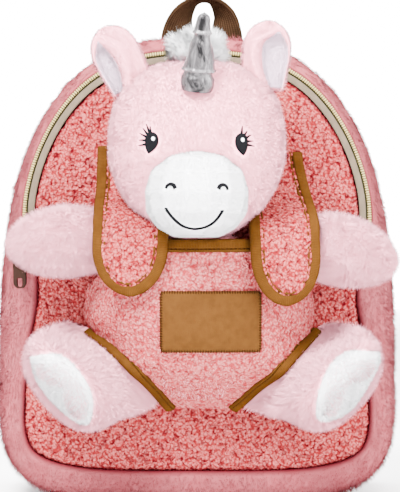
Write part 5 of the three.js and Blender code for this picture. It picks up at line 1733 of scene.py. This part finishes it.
@dataclass
class ToyHead:
    """The unicorn's head: plush, embroidered face, horn, mane and ears."""

    base: Array = field(default_factory=lambda: np.array([0.0, -139.1, 237.3]))
    horn_lean: Array = field(default_factory=lambda: np.array([4.3, -9.0, 43.0]))
    horn_radius: float = 9.8
    horn_line: Profile = Profile(
        (0, 0.84), (0.07, 0.94), (0.16, 0.94), (0.24, 0.82), (0.262, 0.94), (0.3, 0.9), (0.42, 0.8),
        (0.61, 0.63), (0.72, 0.5), (0.742, 0.57), (0.78, 0.5), (0.87, 0.42), (0.94, 0.36), (0.975, 0.26),
        (1, 0.06),
    )
    gathers: tuple[float, float] = (0.262, 0.742)
    muzzle_growth: tuple[float, float, float] = (1.05, 1.0, 1.06)
    eyes: tuple[Eye, Eye] = (
        Eye(-25.1, 209.6, 3.7, 4.4, (-26.9, 201.9), (-24.0, 210.2),
            ((-26.0, 217.5), (-28.2, 219.0), (-30.2, 216.6), (-32.0, 213.6), (-32.7, 209.7), (-33.0, 206.6))),
        Eye(24.9, 209.0, 3.5, 4.4, (26.1, 200.9), (25.1, 209.6),
            ((25.4, 217.8), (28.2, 215.0), (30.5, 212.8), (31.8, 209.2), (32.6, 206.2))),
    )
    ears: tuple[Ear, Ear] = (
        Ear(
            "left", -1.0, foot=(-36.5, 241.0), lean=27.0,
            fold=Profile((0, -0.5), (0.25, -0.22), (0.5, -0.16), (0.7, -0.3), (0.86, -0.58)),
        ),
        Ear(
            "right", 1.0, foot=(37.5, 241.0), lean=7.0,
            fold=Profile((0, -0.35), (0.2, 0.0), (0.5, 0.22), (0.7, 0.12), (0.86, -0.5)),
        ),
    )
    nostrils: tuple[tuple[tuple[float, float], ...], ...] = (
        ((-17.0, 181.9), (-16.2, 183.6), (-14.3, 184.3), (-12.5, 183.6), (-11.7, 181.9)),
        ((17.0, 181.2), (16.3, 183.1), (14.5, 184.0), (12.7, 183.3), (11.9, 181.6)),
    )
    mouth: tuple[tuple[float, float], ...] = (
        (-16.8, 170.5), (-13.3, 166.1), (-8.9, 162.2), (-4.2, 160.3),
        (0.3, 160.0), (5.4, 161.2), (9.9, 164.0), (13.9, 169.1),
    )
    head_hair: Hair = Hair(120_000, 0.0032, 0.0003, (0.0, -0.1, -0.35), 0.6, 0.005, 0.45, seed=11)
    muzzle_hair: Hair = Hair(50_000, 0.0015, 0.00026, (0.0, 0.0, -0.2), 0.5, 0.004, 0.3, seed=12)
    ear_hair: Hair = Hair(14_000, 0.0022, 0.0003, disorder=0.5, clumping=0.4, seed=13)
    lining_hair: Hair = Hair(5_000, 0.0016, 0.0003, disorder=0.5, clumping=0.4, seed=14)
    mane_hair: Hair = Hair(24_000, 0.0095, 0.00045, (0.0, -0.3, 0.5), 0.35, clumping=1.1, seed=15)

    def build(self, shop: Workshop) -> None:
        """Build the head and all that is sewn to it."""
        head = soft_copy("head_plush", "plush_head", 0.0018, 14, shrink=0.001)
        muzzle = soft_copy("muzzle_plush", "muzzle", 0.0014, 8)
        grow_piece(muzzle, self.muzzle_growth)
        skin = tree_of([head, muzzle])
        marks = self.embroider(shop, skin)
        for piece in (head, muzzle):
            self.clear_pile(piece, marks)
        shop.pile(head, self.head_hair, shop.finishes.plush)
        shop.declare(head, ("plush_head",))
        shop.pile(muzzle, self.muzzle_hair, shop.finishes.white)
        shop.declare(muzzle, ("muzzle",))
        self.build_horn(shop)
        mane = soft_copy("mane_tuft", "mane", 0.0015, 6)
        shop.pile(mane, self.mane_hair, shop.finishes.white)
        shop.declare(mane, ("mane",))
        for ear in self.ears:
            ear.build(shop, self.ear_hair, self.lining_hair)

    def line(
        self,
        shop: Workshop,
        finish: object,
        skin: BVHTree,
        name: str,
        places: Array,
        width: tuple[float, float],
    ) -> Array:
        """An embroidered line on the face, from one width to another."""
        places = resample(places, max(8, int(len(places) * 6)))
        path = on_skin(skin, places, 0.5)
        along = unit(np.gradient(path, axis=0))
        out = unit(on_skin(skin, places, 1.5) - path)
        across = unit(np.cross(out, along))
        section = rounded_section(MM, 1.3 * MM, 0.35, 4)
        scale = np.linspace(width[0], width[1], len(path))
        piece = sweep(name, path, across * scale[:, None], out, section)
        shop.declare(piece, finish=finish)
        return places

    def embroider(self, shop: Workshop, skin: BVHTree) -> Array:
        """Sew the eyes, lashes, nostrils and mouth.

        Returns:
            The places that carry thread, as rows of x and z in millimetres.
        """
        marks = []
        for (name, _), eye in zip(SIDES, self.eyes):
            rim = eye.outline()
            middle = np.array([eye.x, eye.widest - 1.0])
            rings = np.linspace(0.08, 1, 9)
            places = middle + rings[:, None, None] * (rim - middle)
            lift = 0.5 + 1.1 * np.sqrt(1 - (rings * 0.98) ** 2)
            piece = sewn_spot(f"eye_{name}", skin, places, lift, -0.6)
            shop.declare(piece, finish=shop.finishes.black)
            marks.append(places.reshape(-1, 2))

            angle = np.linspace(0, math.tau, 20, endpoint=False)
            oval = np.column_stack([0.85 * np.cos(angle), 1.15 * np.sin(angle)])
            spots = np.array(eye.glint) + np.array([0.15, 0.6, 1.0])[:, None, None] * oval
            piece = sewn_spot(f"glint_{name}", skin, spots, np.array([2.1, 2.0, 1.5]), 0.8)
            shop.declare(piece, finish=shop.finishes.glint)

            for index, tip in enumerate(eye.lashes):
                start = rim[np.argmin(np.linalg.norm(rim - np.array(tip), axis=1))]
                start = start + (middle - start) * 0.2
                path = np.array([start, start + (np.array(tip) - start) * 0.92])
                label = f"lash_{name}_{index}"
                marks.append(self.line(shop, shop.finishes.black, skin, label, path, (1.7, 0.35)))
        for (name, _), arc in zip(SIDES, self.nostrils):
            path = smooth_path(np.array(arc), 5)
            marks.append(self.line(shop, shop.finishes.black, skin, f"nostril_{name}", path, (1.5, 2.6)))
        path = smooth_path(np.array(self.mouth), 5)
        marks.append(self.line(shop, shop.finishes.black, skin, "mouth", path, (1.9, 1.7)))
        for index, end in enumerate((self.mouth[0], self.mouth[-1])):
            dot = np.array([end, (end[0], end[1] + 0.9)])
            marks.append(self.line(shop, shop.finishes.black, skin, f"mouth_end_{index}", dot, (2.4, 2.0)))
        return np.vstack(marks)

    def clear_pile(self, piece: Piece, marks: Array) -> None:
        """Keep the pile off the embroidery."""
        points = positions(piece)
        seen = np.column_stack([points[:, 0], points[:, 2]]) / MM
        near = np.full(len(seen), 99.0)
        for start in range(0, len(marks), 200):
            part = marks[start : start + 200]
            gap = np.linalg.norm(seen[:, None, :] - part[None, :, :], axis=2).min(axis=1)
            near = np.minimum(near, gap)
        front = points[:, 1] / MM < self.base[1] + 25
        pile = np.where(front, smoothstep(near, 0.4, 1.8), 1.0)
        set_attribute(piece, "pile", pile)

    def build_horn(self, shop: Workshop) -> None:
        """The horn of silver cloth, in three puffs between gathers."""
        rows, columns = 120, 96
        share = np.linspace(0, 1, rows)
        angle = np.linspace(0, math.tau, columns, endpoint=False)
        axis = unit(self.horn_lean)
        side = unit(np.cross(axis, np.array([0.0, 1.0, 0.0])))
        ahead = np.cross(side, axis)
        radius = np.repeat((self.horn_line(share) * self.horn_radius)[:, None], columns, axis=1)
        for gather, folds in zip(self.gathers, (15, 11)):
            near = np.exp(-(((share - gather) / 0.022) ** 2))[:, None]
            radius = radius * (1 + 0.06 * near * np.sin(folds * angle + 2 * np.sin(3 * angle))[None, :])
        ring = np.cos(angle)[:, None] * side + np.sin(angle)[:, None] * ahead
        spine = self.base + share[:, None] * self.horn_lean
        points = spine[:, None, :] + ring[None, :, :] * radius[..., None]
        for i in range(rows):
            for j in range(columns):
                place = Vector(points[i, j] / np.array([4.0, 4.0, 9.0]))
                fold = noise.noise(place) * 0.7
                points[i, j] += ring[j] * fold * min(1.0, (1 - share[i]) * 5)
        ends = [self.base, self.base + self.horn_lean * 1.01]
        vertices = np.vstack([points.reshape(-1, 3), *ends]) * MM
        piece = make_object("horn_cloth", vertices, tube_faces(rows, columns))
        face_outwards(piece)
        # Painted reflection: the attribute band darkens the side of the horn that faces the camera, and
        # painted highlights lighten it just above each gather.
        front = np.exp(-(((angle - 1.5 * math.pi - 0.1) / 0.55) ** 2)) * 0.5
        gather_highlight = sum(np.exp(-(((share - gather - 0.012) / 0.018) ** 2)) for gather in self.gathers)
        band = front[None, :] * (1 - gather_highlight[:, None]) - gather_highlight[:, None]
        set_attribute(piece, "band", np.concatenate([band.ravel(), [0.0, 0.0]]))
        shop.declare(piece, ("horn",), finish=shop.finishes.silver)


def smooth_path(points: Array, steps: int) -> Array:
    """A smooth curve through points, with a number of steps between each two."""
    padded = np.vstack([2 * points[0] - points[1], points, 2 * points[-1] - points[-2]])
    t = np.arange(steps)[:, None] / steps
    parts = []
    for a, b, c, d in zip(padded, padded[1:], padded[2:], padded[3:]):
        cubic = (2 * a - 5 * b + 4 * c - d) * t**2 + (3 * b - a - 3 * c + d) * t**3
        parts.append(0.5 * (2 * b + (c - a) * t + cubic))
    return np.vstack([*parts, points[-1:]])


@dataclass
class ToyBody:
    """The unicorn's torso, arms, legs and foot pads."""

    bib: Bib
    torso_growth: tuple[float, float, float] = (1.1, 1.12, 1.1)
    soles: dict[str, list[tuple[float, float]]] = field(
        default_factory=lambda: {
            "left": [
                (-94.6, 86.7), (-81.8, 88.4), (-73.4, 85.0), (-64.4, 75.5), (-59.4, 64.3), (-61.0, 49.8),
                (-68.9, 49.8), (-81.8, 59.8), (-91.8, 73.8),
            ],
            "right": [
                (103.8, 89.2), (104.5, 84.0), (99.0, 71.9), (90.7, 57.8), (80.4, 51.3), (69.6, 50.9),
                (68.2, 61.5), (72.0, 74.7), (79.5, 85.0), (88.8, 89.7),
            ],
        }
    )
    sole_lift: float = 1.6
    sole_room: float = 1.2
    sole_depth: float = -120.0
    torso_hair: Hair = Hair(16_000, 0.0026, 0.0004, seed=21)
    arm_hair: Hair = Hair(60_000, 0.0052, 0.0003, (0.0, 0.0, -0.4), 0.85, clumping=0.4, seed=22)
    leg_hair: Hair = Hair(80_000, 0.005, 0.0003, (0.0, 0.0, -0.4), 0.85, clumping=0.3, seed=23)
    pad_hair: Hair = Hair(16_000, 0.0022, 0.0003, disorder=0.5, clumping=0.3, seed=24)

    def build(self, shop: Workshop) -> None:
        """Build the stuffed pieces."""
        torso = soft_copy("torso_plush", "plush_torso", 0.0025, 8)
        grow_piece(torso, self.torso_growth)
        shop.pile(torso, self.torso_hair, shop.finishes.plush)
        shop.declare(torso, ("plush_torso",))
        for name, sign in SIDES:
            for part, hair, shrink in (("arm", self.arm_hair, 0.0024), ("leg", self.leg_hair, -0.0004)):
                piece = soft_copy(f"{part}_plush_{name}", f"{part}_{name}", 0.002, 12, shrink)
                if part == "leg":
                    self.bib.hold_leg(piece, sign)
                    self.sole(shop, name, piece)
                shop.pile(piece, hair, shop.finishes.plush)
                shop.declare(piece, (f"{part}_{name}",))

    def sole(self, shop: Workshop, name: str, leg: Piece) -> None:
        """The white sole on a foot, which keeps the leg's pile off it."""
        rim = resample(smooth_path(np.array(self.soles[name] + self.soles[name][:1]), 6), 72, closed=True)
        middle = rim.mean(axis=0)
        rings = np.linspace(0.05, 1, 22)
        places = middle + rings[:, None, None] * (rim - middle)
        lift = self.sole_lift * np.sqrt(1 - 0.9 * rings**4)
        skin = tree_of([leg])
        piece = sewn_spot(f"foot_sole_{name}", skin, places, lift, -1.0, self.sole_depth)
        cover = tree_of([piece])
        room = self.sole_room * MM
        bare = [cover.find_nearest(Vector(point), room)[0] is not None for point in positions(leg)]
        pile = np.empty(len(bare), np.float32)
        leg.data.attributes["pile"].data.foreach_get("value", pile)
        set_attribute(leg, "pile", np.where(bare, 0.0, pile))
        shop.pile(piece, self.pad_hair, shop.finishes.white)
        shop.declare(piece, (f"foot_pad_{name}",))


# Webbing and straps


@dataclass
class HaulLoop:
    """The webbing loop at the top, which turns on edge towards its crown."""

    middle: float = 3.0
    half_span: float = 15.5
    depth: float = 47.0
    top: float = 277.0
    sink: float = 6.0
    rise: float = 29.0
    width: float = 21.0
    thickness: float = 2.6
    twist_power: float = 1.6
    line: tuple[tuple[float, float], ...] = (
        (-1, 0), (-1, 0.35), (-0.8, 0.7), (-0.35, 0.95), (0.1, 1), (0.5, 0.95), (0.9, 0.7), (1, 0.35), (1, 0),
    )

    def build(self, shop: Workshop) -> None:
        """Build the loop."""
        rows = np.array(self.line, float)
        points = np.column_stack(
            [
                self.middle + rows[:, 0] * self.half_span,
                np.full(len(rows), self.depth),
                self.top - self.sink + rows[:, 1] * (self.rise + self.sink),
            ]
        )
        path = smooth_path(points, 16)
        along = unit(np.gradient(path, axis=0))
        flat = np.column_stack([along[:, 2], np.zeros(len(path)), -along[:, 0]])
        turn = (math.pi / 2 * np.sin(math.pi * np.linspace(0, 1, len(path))) ** self.twist_power)[:, None]
        across = flat * np.cos(turn) + np.array([0.0, 1.0, 0.0]) * np.sin(turn)
        out = unit(np.cross(along, across))
        section = rounded_section(self.width * MM, self.thickness * MM, 0.45, 5)
        piece = sweep("haul_webbing", path * MM, across, out, fine_section(section, 0.0007))
        shop.declare(piece, ("haul_loop",), finish=shop.finishes.webbing)


def fine_section(section: Array, step: float) -> Array:
    """The same outline with points about a step apart."""
    around = np.vstack([section, section[:1]])
    length = np.linalg.norm(np.diff(around, axis=0), axis=1).sum()
    return resample(section, int(length / step), closed=True)


@dataclass
class ShoulderStraps:
    """The padded straps at the back, with their adjusters and webbing."""

    hair: Hair = Hair(26_000, 0.0035, 0.0005, (0.0, 0.0, -0.9), seed=31)

    def build(self, shop: Workshop) -> None:
        """Build both straps."""
        for name, _ in SIDES:
            strap = soft_copy(f"strap_fur_{name}", f"shoulder_strap_{name}", 0.0022, 8)
            shop.pile(strap, self.hair, shop.finishes.fur)
            shop.declare(strap, (f"shoulder_strap_{name}",))
            adjuster = bevelled_copy(f"adjuster_{name}", f"strap_adjuster_{name}", 0.0008)
            shop.declare(adjuster, (f"strap_adjuster_{name}",), finish=shop.finishes.plastic)
            webbing = bevelled_copy(f"webbing_{name}", f"strap_webbing_{name}", 0.0006)
            shop.declare(webbing, (f"strap_webbing_{name}",), finish=shop.finishes.webbing)


@dataclass
class Studio:
    """The pale floor, the soft lights and the camera at the photo's angle."""

    eye: tuple[float, float, float] = (0.0018, -1.6, 0.150)
    lens: float = 190.3
    aim: tuple[float, float, float] = (0.0, 0.0, 0.14)
    reach: float = 8.0
    backdrop_depth: float = 4.6
    backdrop_reach: float = 2.0
    ambient: float = 4.0
    lamps: tuple[tuple[str, tuple[float, float, float], float, float], ...] = (
        ("key", (-0.5, -1.1, 1.3), 0.7, 215.0),
        ("fill", (1.1, -1.1, 0.8), 1.2, 105.0),
        ("top", (0.1, 0.1, 1.5), 1.0, 60.0),
    )

    def build(self, shop: Workshop) -> None:
        """Build the studio."""
        floor = shop.material(shop.finishes.floor)
        glow = shop.material(shop.finishes.backdrop)
        away = (0, self.backdrop_depth, 0)
        wide = self.backdrop_reach
        self.plane("floor", (0, 0, 0), (self.reach, 0, 0), (0, self.reach, 0), floor)
        self.plane("backdrop", away, (wide, 0, 0), (0, 0, wide), glow)

        world = bpy.data.worlds.new("studio")
        bpy.context.scene.world = world
        world.use_nodes = True
        background = world.node_tree.nodes["Background"]
        background.inputs["Color"].default_value = (1.0, 1.0, 1.0, 1.0)
        background.inputs["Strength"].default_value = self.ambient

        for name, place, size, power_w in self.lamps:
            self.light(name, place, size, power_w)

        data = bpy.data.cameras.new("camera")
        data.lens = self.lens
        data.sensor_width = 36.0
        data.clip_start = 0.05
        data.clip_end = 50.0
        camera = link(data)
        camera.location = self.eye
        camera.rotation_euler = (math.pi / 2, 0, 0)
        bpy.context.scene.camera = camera

    def plane(
        self, name: str, middle: tuple, across: tuple, along: tuple, material: bpy.types.Material
    ) -> None:
        """Add one flat sheet of the studio, given by its middle and half its two sides."""
        turns = np.array([(-1, -1), (1, -1), (1, 1), (-1, 1)])
        corners = np.array(middle) + turns @ np.array([across, along])
        sheet = make_object(name, corners, [(0, 1, 2, 3)], smooth=False)
        sheet.data.materials.append(material)

    def light(self, name: str, place: tuple[float, float, float], size: float, power_w: float) -> None:
        """Add one soft area light that faces the bag."""
        data = bpy.data.lights.new(name, "AREA")
        data.shape = "DISK"
        data.size = size
        data.energy = power_w
        lamp = link(data)
        lamp.location = place
        towards = Vector(self.aim) - Vector(place)
        lamp.rotation_euler = towards.to_track_quat("-Z", "Y").to_euler()


def main() -> None:
    """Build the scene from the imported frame."""
    logging.basicConfig(level=logging.INFO, format="%(name)s %(message)s")
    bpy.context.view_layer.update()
    shop = Workshop(Finishes())
    form = BagForm()
    BagBody(form).build(shop)
    Zipper(form).build(shop)
    bib = Bib(form)
    bib.build(shop)
    left = Flap(form, "left", x=-37.0, lower=0.0, tilt=-2.0, sign=-1.0, long=84.5)
    right = Flap(form, "right", x=49.0, lower=3.5, tilt=3.0, sign=1.0, top_shift=-7.0, half=16.4, long=86.5)
    left.build(shop)
    right.build(shop)
    ToyHead().build(shop)
    ToyBody(bib).build(shop)
    HaulLoop().build(shop)
    ShoulderStraps().build(shop)
    Studio().build(shop)


if __name__ == "__main__":
    main()
